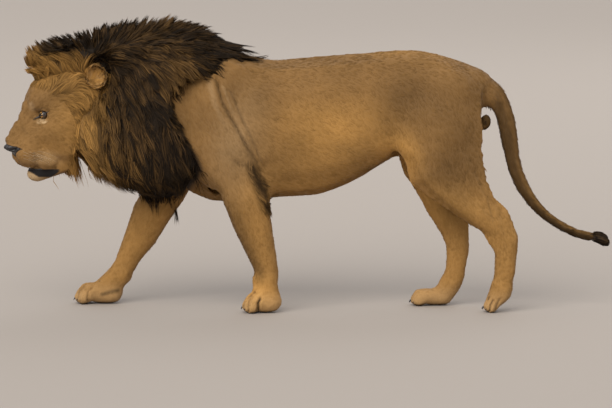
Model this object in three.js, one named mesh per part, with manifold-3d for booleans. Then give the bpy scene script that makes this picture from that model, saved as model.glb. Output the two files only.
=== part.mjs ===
// A life-size male lion in mid stride, in millimetres, +Z up.
// The head points to -X and is turned a little to its left, which is -Y. The origin is on the
// ground under the middle of the bounding box.
//
// Muscle and mane are fields: functions of a point that are negative inside. Bones, blobs and
// profiles are joined smoothly into one body, and wrap() lays a net of rings round a spine on to
// the skin of that body. Each named piece is such a net, parted from its neighbours by thin cuts.

import * as THREE from "three";
import { mergeVertices } from "three/addons/utils/BufferGeometryUtils.js";
import Module from "manifold-3d";

const wasm = await Module();
wasm.setup();

// Driving dimensions.
const gap = 0.3; // between pieces that meet
const headYaw = THREE.MathUtils.degToRad(18); // the turn of the head to its left
const headPivot = new THREE.Vector3(-880, 0, 0); // the axis of that turn, behind the ears
const bendStart = 80; // how far behind and before the pivot the neck bends
const eyeRadius = 19;
const earRadius = 51;
const earWall = 6;
const soleCut = 4; // how far the ground cuts into a round pad
const foreTrack = 141; // from the middle of the body to a forefoot
const shoulderBlend = 36; // how softly a limb runs into the trunk
const limbCover = 22; // how far a limb's own piece reaches over the trunk round it
const left = -1;
const right = 1;

const colours = {
  coat: { color: 0xa47a48, roughness: 0.85, metalness: 0 },
  paleCoat: { color: 0xbd8f55, roughness: 0.85, metalness: 0 },
  maneHair: { color: 0x2b221c, roughness: 0.9, metalness: 0 },
  ruffHair: { color: 0x5a4327, roughness: 0.9, metalness: 0 },
  darkSkin: { color: 0x171312, roughness: 0.5, metalness: 0 },
  eye: { color: 0x8a5a1c, roughness: 0.1, metalness: 0 },
};

// ---------------------------------------------------------------- fields

const smoothMin = (a, b, k) => {
  const h = Math.max(k - Math.abs(a - b), 0) / k;
  return Math.min(a, b) - (h * h * k) / 4;
};

const join = (k, ...fields) => (x, y, z) =>
  fields.reduce((d, field) => smoothMin(d, field(x, y, z), k), Infinity);

const grown = (field, by) => (x, y, z) => field(x, y, z) - by;
const common = (a, b) => (x, y, z) => Math.max(a(x, y, z), b(x, y, z));
const bothSides = (field) => (x, y, z) => field(x, -Math.abs(y), z);

// A tapering bone between two [x, y, z, radius] ends. flat is its thickness across the body
// as a share of its depth along it.
function bone([ax, ay, az, ar], [bx, by, bz, br], flat = 1) {
  const dx = bx - ax, dz = bz - az;
  const long = dx * dx + dz * dz;
  return (x, y, z) => {
    const along = THREE.MathUtils.clamp(((x - ax) * dx + (z - az) * dz) / long, 0, 1);
    const across = (y - ay - (by - ay) * along) / flat;
    const radius = ar + (br - ar) * along;
    return Math.hypot(x - ax - dx * along, across, z - az - dz * along) - radius;
  };
}

const limb = (flat, ...ends) =>
  join(12, ...ends.slice(1).map((end, i) => bone(ends[i], end, flat)));

// An ellipsoid, tilted in the side view by lean degrees, nose down.
function blob([cx, cy, cz], [rx, ry, rz], lean = 0) {
  const c = Math.cos(THREE.MathUtils.degToRad(lean)), s = Math.sin(THREE.MathUtils.degToRad(lean));
  return (x, y, z) => {
    const u = (x - cx) * c + (z - cz) * s, v = y - cy, w = (z - cz) * c - (x - cx) * s;
    const k = Math.hypot(u / rx, v / ry, w / rz);
    const g = Math.hypot(u / (rx * rx), v / (ry * ry), w / (rz * rz));
    return g > 0 ? (k * (k - 1)) / g : -Math.min(rx, ry, rz);
  };
}

// A long body given by cross-sections at stations along X: [x, top, bottom, half width, height
// of the widest level]. The values between stations lie on Catmull-Rom curves.
function profile(squareness, ...stations) {
  const value = (x, column) => {
    const last = stations.length - 2;
    let i = stations.findIndex((s) => s[0] > x) - 1;
    if (i < 0) i = x <= stations[0][0] ? 0 : last;
    const at = (n) => stations[THREE.MathUtils.clamp(n, 0, last + 1)];
    const [a, b, c, d] = [at(i - 1), at(i), at(i + 1), at(i + 2)];
    const t = THREE.MathUtils.clamp((x - b[0]) / (c[0] - b[0]), 0, 1);
    const m0 = ((c[column] - a[column]) / (c[0] - a[0])) * (c[0] - b[0]);
    const m1 = ((d[column] - b[column]) / (d[0] - b[0])) * (c[0] - b[0]);
    const t2 = t * t, t3 = t2 * t;
    return (2 * t3 - 3 * t2 + 1) * b[column] + (t3 - 2 * t2 + t) * m0
      + (3 * t2 - 2 * t3) * c[column] + (t3 - t2) * m1;
  };
  const first = stations[0][0], end = stations.at(-1)[0];
  return (x, y, z) => {
    const at = THREE.MathUtils.clamp(x, first, end);
    const [top, bottom, wide, level] = [1, 2, 3, 4].map((column) => value(at, column));
    const high = z > level ? top - level : level - bottom;
    const share = ((Math.abs(y) / wide) ** squareness + (Math.abs(z - level) / high) ** squareness)
      ** (1 / squareness);
    const inPlane = (share - 1) * Math.min(wide, high);
    const beyond = Math.max(first - x, x - end);
    return Math.hypot(Math.max(inPlane, 0), Math.max(beyond, 0)) + Math.min(Math.max(inPlane, beyond), 0);
  };
}

// Hair and neck follow the turned head: their middle plane bends away in front of the pivot.
const follow = (x) => {
  const ahead = headPivot.x + bendStart - x;
  if (ahead <= 0) return 0;
  const slope = Math.tan(headYaw);
  return ahead > 2 * bendStart
    ? -slope * (ahead - bendStart)
    : (-slope * ahead * ahead) / (4 * bendStart);
};
const following = (field) => (x, y, z) => field(x, y - follow(x), z);
const followed = (spine) => spine.map(([x, y, z]) => [x, y + follow(x), z]);

// ---------------------------------------------------------------- nets and solids

const solidOf = (geometry) => {
  const bare = new THREE.BufferGeometry().setAttribute("position", geometry.getAttribute("position"));
  if (geometry.index) bare.setIndex(geometry.index);
  const merged = mergeVertices(bare, 1e-4);
  return new wasm.Manifold(new wasm.Mesh({
    numProp: 3,
    vertProperties: new Float32Array(merged.attributes.position.array),
    triVerts: new Uint32Array(merged.index.array),
  }));
};

const geometryOf = (solid) => {
  const { vertProperties, triVerts } = solid.getMesh();
  return new THREE.BufferGeometry()
    .setAttribute("position", new THREE.BufferAttribute(vertProperties, 3))
    .setIndex(new THREE.BufferAttribute(triVerts, 1))
    .toNonIndexed();
};

// How far the field's skin is from a point inside it, in one direction.
function reach(field, from, way, skin) {
  const stride = 9, farthest = 700;
  const outside = (t) =>
    field(from.x + way.x * t, from.y + way.y * t, from.z + way.z * t) > skin;
  let low = 0;
  while (low < farthest && !outside(low + stride)) low += stride;
  let high = low + stride;
  for (let i = 0; i < 12; i++) {
    const middle = (low + high) / 2;
    if (outside(middle)) high = middle;
    else low = middle;
  }
  return low;
}

// A closed net on the field's skin: rings of points round a spine, with a dome of
// domed rings at a rounded end, or a flat fan where a cut follows.
function wrap(field, spine, { rings, around, dome = [0, 0], skin = 0 }) {
  const curve = new THREE.CatmullRomCurve3(spine.map((p) => new THREE.Vector3(...p)));
  const rows = [];
  const domeRows = (t, count, sign) => Array.from({ length: count }, (_, i) => ({
    t, lean: sign * (Math.PI / 2) * (1 - (i + 1) / (count + 1)),
  }));
  rows.push(...domeRows(0, dome[0], -1));
  for (let i = 0; i <= rings; i++) rows.push({ t: i / rings, lean: 0 });
  rows.push(...domeRows(1, dome[1], 1).reverse());

  const points = [];
  const frameAt = (t) => {
    const along = curve.getTangentAt(t);
    const side = new THREE.Vector3(0, 1, 0).addScaledVector(along, -along.y).normalize();
    return { centre: curve.getPointAt(t), along, side, up: new THREE.Vector3().crossVectors(along, side) };
  };
  const place = (centre, way) => points.push(
    ...centre.clone().addScaledVector(way, reach(field, centre, way, skin)).toArray());
  for (const { t, lean } of rows) {
    const { centre, along, side, up } = frameAt(t);
    for (let j = 0; j < around; j++) {
      const turn = (2 * Math.PI * j) / around;
      place(centre, up.clone().multiplyScalar(Math.cos(turn)).addScaledVector(side, Math.sin(turn))
        .multiplyScalar(Math.cos(lean)).addScaledVector(along, Math.sin(lean)));
    }
  }
  const poles = [0, 1].map((end) => {
    const { centre, along } = frameAt(end);
    if (dome[end]) place(centre, along.clone().multiplyScalar(end ? 1 : -1));
    else points.push(...centre.toArray());
    return points.length / 3 - 1;
  });

  const faces = [];
  for (let j = 0; j < around; j++) {
    const next = (j + 1) % around;
    faces.push(poles[0], j, next);
    for (let i = 0; i + 1 < rows.length; i++) {
      const a = i * around + j, b = i * around + next, c = a + around, d = b + around;
      faces.push(a, d, b, a, c, d);
    }
    const edge = (rows.length - 1) * around;
    faces.push(poles[1], edge + next, edge + j);
  }
  return new THREE.BufferGeometry()
    .setAttribute("position", new THREE.Float32BufferAttribute(points, 3))
    .setIndex(faces);
}

// A net as a solid, and the same net grown by the gap, which cuts what lies against it.
function piece(field, spine, options, placing = new THREE.Matrix4()) {
  const made = (skin) => solidOf(wrap(field, spine, { ...options, skin }).applyMatrix4(placing));
  const solid = made(0);
  return { solid, cutter: made(gap + 0.15).add(solid) };
}

// The half of space on the side that way points to.
function halfSpace(point, way) {
  const size = 4000;
  const turn = new THREE.Quaternion().setFromUnitVectors(
    new THREE.Vector3(0, 0, 1), new THREE.Vector3(...way).normalize());
  const box = new THREE.BoxGeometry(size, size, size).translate(0, 0, size / 2);
  return solidOf(box.applyQuaternion(turn).translate(...point));
}

// The part of a solid between two planes, each [point, way], half a gap inside them.
const between = (solid, ...planes) => planes.reduce((rest, [point, way]) => {
  const unit = new THREE.Vector3(...way).normalize();
  const moved = new THREE.Vector3(...point).addScaledVector(unit, gap / 2);
  return rest.intersect(halfSpace(moved.toArray(), way));
}, solid);

const turned = (way) => way.map((v) => -v);
const without = (solid, ...cutters) => cutters.reduce((rest, cutter) => rest.subtract(cutter), solid);

const lion = new THREE.Group();

// Adds one named mesh. Loose flakes that a cut leaves are dropped.
function add(name, solid, colour) {
  const whole = solid.decompose().sort((a, b) => b.volume() - a.volume())[0];
  const mesh = new THREE.Mesh(geometryOf(whole), new THREE.MeshStandardMaterial(colours[colour]));
  mesh.name = name;
  lion.add(mesh);
}

const floor = [[0, 0, -gap / 2], [0, 0, 1]];
const cuts = {
  nape: [[-893, 0, 850], [1, 0.32, -0.1]],
  throat: [[-515, 0, 800], [1, 0, 0]],
  girth: [[-215, 0, 800], [1, 0, 0]],
  flank: [[330, 0, 800], [1, 0, 0]],
  tail: [[738, 0, 930], [1, 0, -0.6]],
};
const sideName = (side) => (side === left ? "left" : "right");

// ---------------------------------------------------------------- trunk

const trunkField = profile(2.25,
  [-600, 985, 600, 105, 800], // breast
  [-540, 1060, 515, 140, 790],
  [-450, 1100, 460, 158, 780],
  [-350, 1108, 442, 168, 775], // withers
  [-260, 1085, 447, 182, 765],
  [-178, 1056, 458, 192, 755],
  [-60, 1062, 462, 198, 745], // girth behind the elbow
  [50, 1073, 470, 192, 745],
  [136, 1079, 499, 182, 755],
  [219, 1084, 536, 168, 775],
  [303, 1092, 592, 154, 800], // flank
  [387, 1100, 640, 145, 830], // croup, the highest point of the back
  [470, 1096, 662, 140, 850],
  [554, 1079, 692, 128, 865],
  [638, 1052, 735, 106, 885],
  [700, 1020, 785, 78, 895],
  [738, 990, 835, 50, 910], // root of the tail
);

const neckField = profile(2.1,
  [-960, 985, 700, 95, 850],
  [-900, 1015, 655, 122, 840],
  [-800, 1060, 605, 145, 830],
  [-700, 1090, 575, 158, 820],
  [-600, 1110, 550, 165, 810],
  [-500, 1112, 520, 170, 800],
);

// ---------------------------------------------------------------- limbs

// Each limb is given by the bones of its upper, middle and lower lengths, whose ends are
// [x, y, z, radius], by the spines of their nets and by the planes that part them.
const foreLimb = {
  [left]: {
    upper: [
      [0.44, [-325, -128, 985, 70], [-400, -150, 860, 92], [-445, -158, 720, 106]], // shoulder blade
      [0.5, [-440, -158, 700, 106], [-320, -163, 600, 106], [-240, -160, 520, 82]], // upper arm
    ],
    middle: [
      [0.74, [-255, -160, 470, 99], [-232, -157, 387, 88], [-206, -152, 303, 74],
        [-184, -147, 240, 65], [-166, -143, 172, 57], [-157, -142, 120, 53]],
    ],
    spines: {
      upper: [[-355, -140, 970], [-410, -155, 800], [-370, -165, 650], [-262, -160, 500], [-240, -158, 400]],
      middle: [[-270, -160, 540], [-245, -159, 440], [-206, -152, 303], [-166, -143, 172], [-155, -141, 100]],
      foot: [[-132, -foreTrack, 52], [-190, -foreTrack, 42], [-244, -foreTrack, 36]],
    },
    elbow: [[-238, -160, 455], [0.18, 0, 1]],
    wrist: [[-160, -142, 145], [0.16, 0, 1]],
    foot: {
      y: -foreTrack, wide: 138,
      toe: [[-205, 58, 33], [-230, 56, 32], [-249, 0, 32]],
      pad: [[-188, 0, 42], [-142, 0, 46]],
      instep: [[-170, 86, 44], [-157, 130, 53]],
    },
  },
  [right]: {
    upper: [
      [0.44, [-350, 128, 985, 70], [-430, 150, 860, 92], [-495, 158, 720, 106]],
      [0.5, [-500, 158, 700, 106], [-545, 163, 590, 102], [-592, 160, 500, 88]],
    ],
    middle: [
      [0.74, [-600, 159, 490, 92], [-630, 156, 435, 93], [-667, 153, 378, 86],
        [-698, 150, 305, 76], [-725, 147, 262, 66], [-755, 144, 207, 55], [-790, 141, 130, 53]],
    ],
    spines: {
      upper: [[-375, 140, 970], [-450, 155, 800], [-515, 165, 660], [-585, 160, 520], [-620, 158, 430]],
      middle: [[-570, 160, 560], [-610, 158, 470], [-698, 150, 305], [-755, 144, 207], [-800, 141, 110]],
      foot: [[-800, foreTrack, 74], [-860, foreTrack, 48], [-960, foreTrack, 36]],
    },
    elbow: [[-610, 157, 470], [0.5, 0, 1]],
    wrist: [[-778, 142, 155], [0.45, 0, 1]],
    foot: {
      y: foreTrack, wide: 138,
      toe: [[-900, 62, 34], [-938, 60, 35], [-964, 0, 33]],
      pad: [[-885, 0, 44], [-828, 0, 46]],
      instep: [[-850, 84, 46], [-795, 128, 53]],
    },
  },
};

const hindLimb = {
  [left]: {
    upper: [
      [0.6, [590, -92, 897, 126], [545, -112, 770, 148], [500, -132, 625, 118]], // thigh
      [0.55, [668, -72, 890, 78], [657, -102, 740, 88], [667, -118, 625, 80], [702, -126, 540, 58]],
    ],
    middle: [
      [0.66, [490, -138, 590, 76], [560, -138, 515, 68], [640, -134, 455, 62],
        [740, -130, 385, 57], [822, -127, 338, 50]], // shank
      [0.6, [620, -126, 610, 92], [700, -128, 520, 56], [785, -128, 440, 29], [848, -127, 388, 31]],
    ],
    lower: [
      [0.7, [838, -127, 350, 47], [828, -126, 285, 53], [826, -125, 215, 52],
        [821, -125, 156, 47], [808, -125, 100, 45]],
    ],
    spines: {
      upper: [[590, -95, 950], [560, -110, 800], [570, -125, 660], [620, -132, 530], [650, -132, 480]],
      middle: [[560, -130, 620], [640, -132, 520], [740, -130, 410], [830, -128, 340], [850, -126, 300]],
      lower: [[835, -127, 400], [828, -126, 300], [824, -125, 190], [806, -125, 90]],
      foot: [[822, -125, 160], [808, -125, 100], [786, -125, 64], [755, -125, 30]],
    },
    stifle: [[600, -130, 560], [-0.5, 0, 1]],
    hock: [[832, -127, 325], [0.1, 0, 1]],
    wrist: [[812, -125, 118], [0.25, 0, 1]],
    foot: {
      y: -125, wide: 116, // on the tips of its toes
      toe: [[802, 74, 30], [774, 54, 29], [754, 0, 28]],
      pad: [[812, 82, 40], [793, 64, 36]],
      instep: [[808, 96, 44], [818, 135, 47]],
    },
  },
  [right]: {
    upper: [
      [0.6, [590, 92, 897, 126], [535, 112, 770, 145], [478, 128, 635, 112]],
      [0.55, [668, 72, 890, 78], [650, 100, 740, 86], [625, 114, 630, 78], [615, 118, 560, 66]],
    ],
    middle: [
      [0.66, [470, 128, 600, 84], [512, 122, 506, 70], [548, 114, 430, 62],
        [582, 104, 358, 57], [632, 96, 285, 50]],
      [0.6, [560, 118, 600, 84], [618, 110, 470, 44], [655, 102, 370, 28], [680, 96, 298, 30]],
    ],
    lower: [
      [0.7, [648, 96, 290, 46], [635, 92, 235, 53], [631, 88, 180, 50],
        [624, 83, 135, 48], [600, 80, 80, 45]],
    ],
    spines: {
      upper: [[590, 95, 950], [550, 110, 800], [530, 120, 660], [530, 122, 560], [540, 120, 500]],
      middle: [[500, 124, 640], [535, 119, 520], [590, 106, 400], [640, 97, 290], [648, 95, 240]],
      lower: [[652, 97, 330], [636, 92, 240], [629, 86, 165], [600, 80, 70]],
      foot: [[602, 80, 66], [545, 80, 44], [462, 80, 33]],
    },
    stifle: [[520, 122, 560], [-0.3, 0, 1]],
    hock: [[640, 96, 262], [0.1, 0, 1]],
    wrist: [[618, 83, 110], [0.3, 0, 1]],
    foot: {
      y: 80, wide: 118,
      toe: [[505, 48, 30], [474, 46, 30], [456, 0, 28]],
      pad: [[525, 0, 38], [578, 0, 38]],
      instep: [[590, 74, 42], [614, 112, 48]],
    },
  },
};

const massOf = (bones, k = 40) => join(k, ...bones.map(([flat, ...ends]) => limb(flat, ...ends)));

// A foot: four toes side by side, the outer two set back, the main pads and the instep.
// A height of 0 in its lists rests the round on the ground.
function footField({ y, wide, toe, pad, instep }) {
  const resting = ([x, z, r]) => [x, z || r - soleCut, r];
  const setBack = [14, 0, 0, 14];
  const toes = setBack.map((back, i) => {
    const across = (i - 1.5) / 1.5;
    return limb(1, ...toe.map(resting).map(([x, z, r], n) =>
      [x + back, y + across * (wide / 2 - r) * (0.85 + 0.07 * n), z - back * 0.3, r * 0.86]));
  });
  const pads = limb(1.15, ...pad.map(resting).map(([x, z, r]) => [x, y, z, r]));
  const top = limb(0.95, ...instep.map(([x, z, r]) => [x, y, z, r]));
  return join(18, join(8, ...toes), pads, top);
}

// ---------------------------------------------------------------- tail

const tailLine = [
  [680, 0, 950, 74], [735, 0, 930, 66], [772, 0, 901, 54], [797, -2, 872, 46], [816, -4, 834, 41],
  [832, -6, 780, 40], [846, -8, 710, 35], [857, -8, 640, 31], [875, -6, 575, 29], [905, -2, 510, 27],
  [945, 4, 448, 22], [995, 10, 395, 19.5], [1055, 16, 352, 18], [1120, 20, 318, 17.5],
  [1190, 22, 299, 18],
];
const tuftLine = [[1185, 22, 300, 17], [1222, 22, 296, 25], [1246, 22, 286, 25], [1258, 22, 272, 15]];
const tailField = limb(1, ...tailLine);

// ---------------------------------------------------------------- head

// In the head's own frame, where it isn't turned and X counts from the pivot.
const skullField = bothSides(join(30,
  blob([-120, 0, 890], [165, 118, 128]), // cranium
  blob([-224, 0, 884], [84, 88, 100]), // forehead
  blob([-258, -44, 884], [46, 36, 54]), // brow
  // bridge of the nose
  limb(1.15, [-262, 0, 845, 42], [-312, 0, 772, 38], [-352, 0, 712, 34], [-368, 0, 702, 32]),
  blob([-262, 0, 700], [92, 62, 78]), // muzzle
  blob([-296, -38, 668], [64, 42, 56]), // whisker pad
  blob([-225, -62, 640], [62, 26, 38]), // flew, the hanging upper lip
  limb(0.9, [-235, -52, 800, 42], [-275, -42, 735, 38]), // under the eye
  blob([-165, -84, 768], [88, 50, 88]), // cheekbone
  blob([-120, -70, 690], [88, 56, 84]), // jaw muscle
));
const socket = blob([-268, -70, 828], [30, 22, 20]);
const headField = (x, y, z) => {
  const skull = skullField(x, y, z);
  const dent = -socket(x, -Math.abs(y), z);
  return -smoothMin(-skull, -dent, 16);
};
const headSpine = [[-338, 0, 690], [-270, 0, 750], [-190, 0, 805], [-100, 0, 845], [0, 0, 860]];

const jawField = bothSides(join(26,
  blob([-262, 0, 577], [46, 42, 37]), // chin
  limb(0.85, [-250, -22, 583, 32], [-190, -46, 604, 38], [-120, -62, 640, 46]), // mandible
  blob([-185, 0, 606], [80, 56, 36]),
));

const inHead = new THREE.Matrix4()
  .makeTranslation(headPivot)
  .multiply(new THREE.Matrix4().makeRotationZ(headYaw));

// ---------------------------------------------------------------- mane

const maneField = following(join(60,
  profile(2, // crest
    [-1182, 1050, 985, 44, 1018], // forelock
    [-1130, 1110, 950, 84, 1032],
    [-1034, 1138, 925, 96, 1030],
    [-960, 1150, 900, 92, 1025], // between the ears
    [-890, 1163, 890, 98, 1015],
    [-830, 1180, 860, 150, 1000],
    [-742, 1192, 850, 192, 995],
    [-658, 1208, 850, 202, 990],
    [-574, 1212, 850, 202, 990], // over the neck
    [-491, 1200, 880, 190, 1005],
    [-407, 1177, 925, 162, 1025],
    [-345, 1147, 965, 132, 1035],
    [-282, 1105, 990, 102, 1040],
    [-240, 1085, 1012, 76, 1045],
    [-190, 1062, 1035, 32, 1050]), // its point on the back
  profile(2.2, // ruff
    [-1018, 800, 655, 116, 735], // cheek
    [-985, 840, 604, 150, 730],
    [-930, 880, 590, 174, 728],
    [-880, 915, 574, 186, 725],
    [-842, 950, 517, 200, 720],
    [-788, 1020, 452, 216, 715], // throat
    [-700, 1080, 417, 236, 700],
    [-600, 1090, 407, 246, 690], // bib
    [-515, 1070, 426, 246, 690],
    [-460, 1000, 446, 240, 680],
    [-420, 860, 458, 222, 640],
    [-385, 700, 476, 198, 590], // its rear edge on the shoulder
    [-365, 600, 505, 150, 555]),
));

// ---------------------------------------------------------------- limbs as pieces

const midWall = 22; // half the thickness of trunk left between a left and a right limb
const netMargin = 95; // the breadth of body that an upper length's net takes in
const netUpper = { rings: 7, around: 12, dome: [2, 0] };
const netMiddle = { rings: 5, around: 12 };
const netLower = { rings: 4, around: 10 };
const netFoot = { rings: 6, around: 14, dome: [1, 2] };

const upperFields = [foreLimb, hindLimb].flatMap((pair) =>
  [left, right].map((side) => massOf(pair[side].upper)));
const bodyField = join(shoulderBlend, trunkField, limb(1, ...tailLine.slice(0, 4)), ...upperFields);
const limbCutters = [];
const sockets = []; // the room that the upper lengths take up in the trunk
const covered = []; // the same room, a little smaller

// A plate across the body whose outline runs round one bone, seen from the side.
function boneOutline([ax, , az, ar], [bx, , bz, br], more) {
  const run = Math.hypot(bx - ax, bz - az);
  const along = Math.atan2(bz - az, bx - ax);
  const lean = Math.acos((ar - br) / run);
  const outline = new THREE.Shape()
    .absarc(bx, bz, br + more, along - lean, along + lean)
    .absarc(ax, az, ar + more, along + lean, along - lean + 2 * Math.PI);
  return solidOf(new THREE.ExtrudeGeometry(outline, { depth: 800, bevelEnabled: false, curveSegments: 5 })
    .rotateX(Math.PI / 2).translate(0, 400, 0));
}

const coverOf = (bones, more) => bones
  .flatMap(([, ...ends]) => ends.slice(1).map((end, i) => boneOutline(ends[i], end, limbCover + more)))
  .reduce((all, one) => all.add(one));

// The net of an upper length takes in the body all round it, on its own side, and the cover's
// outline is then cut out of both.
function upperLength(name, side, { upper, middle, spines }, cut) {
  const flattened = massOf(upper.map(([, ...ends]) => [1e6, ...ends]));
  const around = common(grown(flattened, netMargin), (x, y) => midWall / 2 - side * y);
  const made = piece(common(join(shoulderBlend, bodyField, massOf(middle)), around),
    spines.upper, netUpper);
  const socket = (more) =>
    between(coverOf(upper, more), [[0, side * (midWall - more), 0], [0, side, 0]]);
  add(`${name}_${sideName(side)}`, between(made.solid.intersect(socket(0)), cut), "coat");
  limbCutters.push(made.cutter.intersect(socket(gap)));
  sockets.push(socket(gap));
  covered.push(socket(-gap));
}

function midLength(name, side, { upper, middle, lower, spines }, above, below) {
  const field = join(24, ...[upper, middle, lower].filter(Boolean).map((bones) => massOf(bones, 24)));
  const made = piece(field, spines.middle, netMiddle);
  add(`${name}_${sideName(side)}`,
    between(made.solid, [above[0], turned(above[1])], below), "paleCoat");
  limbCutters.push(made.cutter);
}

function lowerLength(name, side, { middle, lower, spines, hock, wrist }) {
  const made = piece(join(24, massOf(middle, 24), massOf(lower)), spines.lower, netLower);
  add(`${name}_${sideName(side)}`, between(made.solid, [hock[0], turned(hock[1])], wrist), "paleCoat");
}

function foot(name, side, { foot: shape, middle, lower, spines, wrist }) {
  const made = piece(join(20, footField(shape), massOf(lower ?? middle)), spines.foot, netFoot);
  add(`${name}_${sideName(side)}`, between(made.solid, [wrist[0], turned(wrist[1])], floor), "paleCoat");
}

for (const side of [left, right]) {
  const fore = foreLimb[side];
  upperLength("shoulder", side, fore, fore.elbow);
  midLength("forearm", side, fore, fore.elbow, fore.wrist);
  foot("fore_paw", side, fore);

  const hind = hindLimb[side];
  upperLength("thigh", side, hind, hind.stifle);
  midLength("shank", side, hind, hind.stifle, hind.hock);
  lowerLength("hock", side, hind);
  foot("hind_paw", side, hind);
}

// ---------------------------------------------------------------- head as pieces

const head = piece(headField, headSpine, { rings: 11, around: 18, dome: [3, 0] }, inHead);
const jaw = piece(jawField, [[-268, 0, 578], [-200, 0, 598], [-130, 0, 628]],
  { rings: 4, around: 10, dome: [2, 1] }, inHead);

const eyePlace = [-244, 59, 829];
const eyes = [left, right].map((side) => {
  const at = (radius) => solidOf(new THREE.SphereGeometry(radius, 10, 6)
    .translate(eyePlace[0], side * eyePlace[1], eyePlace[2]).applyMatrix4(inHead));
  return { side, solid: at(eyeRadius), cutter: at(eyeRadius + gap) };
});

// The nose leather: the front of the muzzle under a slanting line.
const leatherBox = (more) => solidOf(new THREE.BoxGeometry(86 + more, 102 + more, 46 + more)
  .applyMatrix4(new THREE.Matrix4().makeRotationY(THREE.MathUtils.degToRad(-38)))
  .translate(-388, 0, 670).applyMatrix4(inHead));

// An ear: a cupped shell that opens forwards and outwards, on a short fleshy base.
const earPlace = [-33, 116, 985];
function ear(side) {
  const opening = new THREE.Vector3(-0.6, side * 0.78, 0.1).normalize();
  const turn = new THREE.Quaternion().setFromUnitVectors(new THREE.Vector3(0, 0, 1), opening);
  const inPlace = (geometry) => solidOf(geometry.applyQuaternion(turn)
    .translate(earPlace[0], side * earPlace[1], earPlace[2]).applyMatrix4(inHead));
  const shell = (radius, out, [columns, rows]) => inPlace(
    new THREE.SphereGeometry(radius, columns, rows).scale(1, 1, 0.82).translate(0, 0, out));
  const base = limb(1, [-62, side * 82, 925, 33], [-36, side * 102, 955, 29]);
  const stalk = (skin) => solidOf(wrap(base, [[-60, side * 84, 928], [-38, side * 100, 953]],
    { rings: 1, around: 7, dome: [1, 1], skin }).applyMatrix4(inHead));
  const hollow = shell(earRadius - earWall, 7, [8, 5]);
  const open = inPlace(new THREE.BoxGeometry(120, 120, 80).translate(0, 0, 40 + earRadius * 0.36));
  return {
    side,
    solid: without(shell(earRadius, 0, [9, 6]).add(stalk(0)), hollow, open, head.cutter),
    cutter: shell(earRadius + 1.5, 0, [9, 6]).add(stalk(1.5)),
  };
}
const ears = [left, right].map(ear);

const lipLine = new THREE.CatmullRomCurve3([
  [-196, 62, 600], [-245, 52, 592], [-287, 27, 594], [-299, 0, 596],
  [-287, -27, 594], [-245, -52, 592], [-196, -62, 600],
].map((p) => new THREE.Vector3(...p)));
const lipSection = new THREE.Shape().absarc(0, 0, 11, 0, 2 * Math.PI);
const lip = solidOf(new THREE.ExtrudeGeometry(lipSection,
  { steps: 10, curveSegments: 3, extrudePath: lipLine }).applyMatrix4(inHead));

const leather = leatherBox(0);
const headBare = without(head.solid, leatherBox(2 * gap), ...eyes.map((eye) => eye.cutter));
add("head", between(headBare, [cuts.nape[0], turned(cuts.nape[1])]), "coat");
add("nose", head.solid.intersect(leather), "darkSkin");
for (const { side, solid } of eyes) add(`eye_${sideName(side)}`, solid, "eye");
for (const { side, solid } of ears) add(`ear_${sideName(side)}`, solid, "ruffHair");
add("lip", without(lip, head.cutter, jaw.cutter), "darkSkin");
add("jaw", without(jaw.solid, head.cutter), "paleCoat");

// ---------------------------------------------------------------- trunk as pieces

const trunk = piece(bodyField, [[-560, 0, 800], [-300, 0, 780], [0, 0, 765], [300, 0, 830],
  [560, 0, 880], [745, 0, 925]], { rings: 16, around: 16, dome: [1, 2] });
const neck = piece(following(neckField), followed([[-930, 0, 860], [-760, 0, 830], [-520, 0, 810]]),
  { rings: 4, around: 12, dome: [1, 1] });
// The corner over the tail's root lies past the reach of the thigh's net, so the trunk keeps it.
const cornerSize = [120, 400, 100];
const cornerPlace = [762, 0, 972];
const tailCorner = solidOf(new THREE.BoxGeometry(...cornerSize).translate(...cornerPlace));
const hollows = sockets.map((socket) => socket.subtract(tailCorner));
const trunkBare = without(trunk.solid, ...hollows, ...limbCutters);
const trunkCutter = without(trunk.cutter, ...covered);
const neckBare = without(neck.solid, ...limbCutters);
const neckOpen = without(neckBare, ...ears.map((each) => each.cutter));
add("neck", between(neckOpen, cuts.nape, [cuts.throat[0], turned(cuts.throat[1])]), "coat");
add("chest", between(trunkBare, cuts.throat, [cuts.girth[0], turned(cuts.girth[1])]), "coat");
add("belly", between(trunkBare, cuts.girth, [cuts.flank[0], turned(cuts.flank[1])]), "coat");
add("rump", between(trunkBare, cuts.flank, [cuts.tail[0], turned(cuts.tail[1])]), "coat");

const bagRadius = 35;
const bagPlace = [738, 0, 788];
const bagDrop = 1.15; // its height over its width
const bag = new THREE.SphereGeometry(bagRadius, 10, 6).scale(1, 1, bagDrop).translate(...bagPlace);

// The tail in three lengths and its tuft, cut square to its line.
const tail = piece(join(20, tailField, trunkField), tailLine.map(([x, y, z]) => [x, y, z]),
  { rings: 20, around: 8, dome: [0, 1] });
const tuft = piece(limb(1, ...tuftLine), tuftLine.map(([x, y, z]) => [x, y, z]),
  { rings: 4, around: 8, dome: [0, 2] });
add("scrotum", without(solidOf(bag), trunk.cutter, tail.cutter, ...limbCutters), "darkSkin");
const squareCut = (i) => {
  const [a, b] = [tailLine[i - 1], tailLine[i + 1]];
  return [tailLine[i].slice(0, 3), [b[0] - a[0], b[1] - a[1], b[2] - a[2]]];
};
const tailCuts = [cuts.tail, squareCut(7), squareCut(11), [[1192, 22, 299], [1, 0, -0.3]]];
["tail_root", "tail_middle", "tail_end"].forEach((name, i) => {
  const [point, way] = tailCuts[i + 1];
  const length = between(tail.solid, tailCuts[i], [point, turned(way)]);
  add(name, i ? length : without(length, ...limbCutters), "coat");
});
add("tail_tuft", between(tuft.solid, tailCuts.at(-1)), "maneHair");

// ---------------------------------------------------------------- mane as pieces

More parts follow.
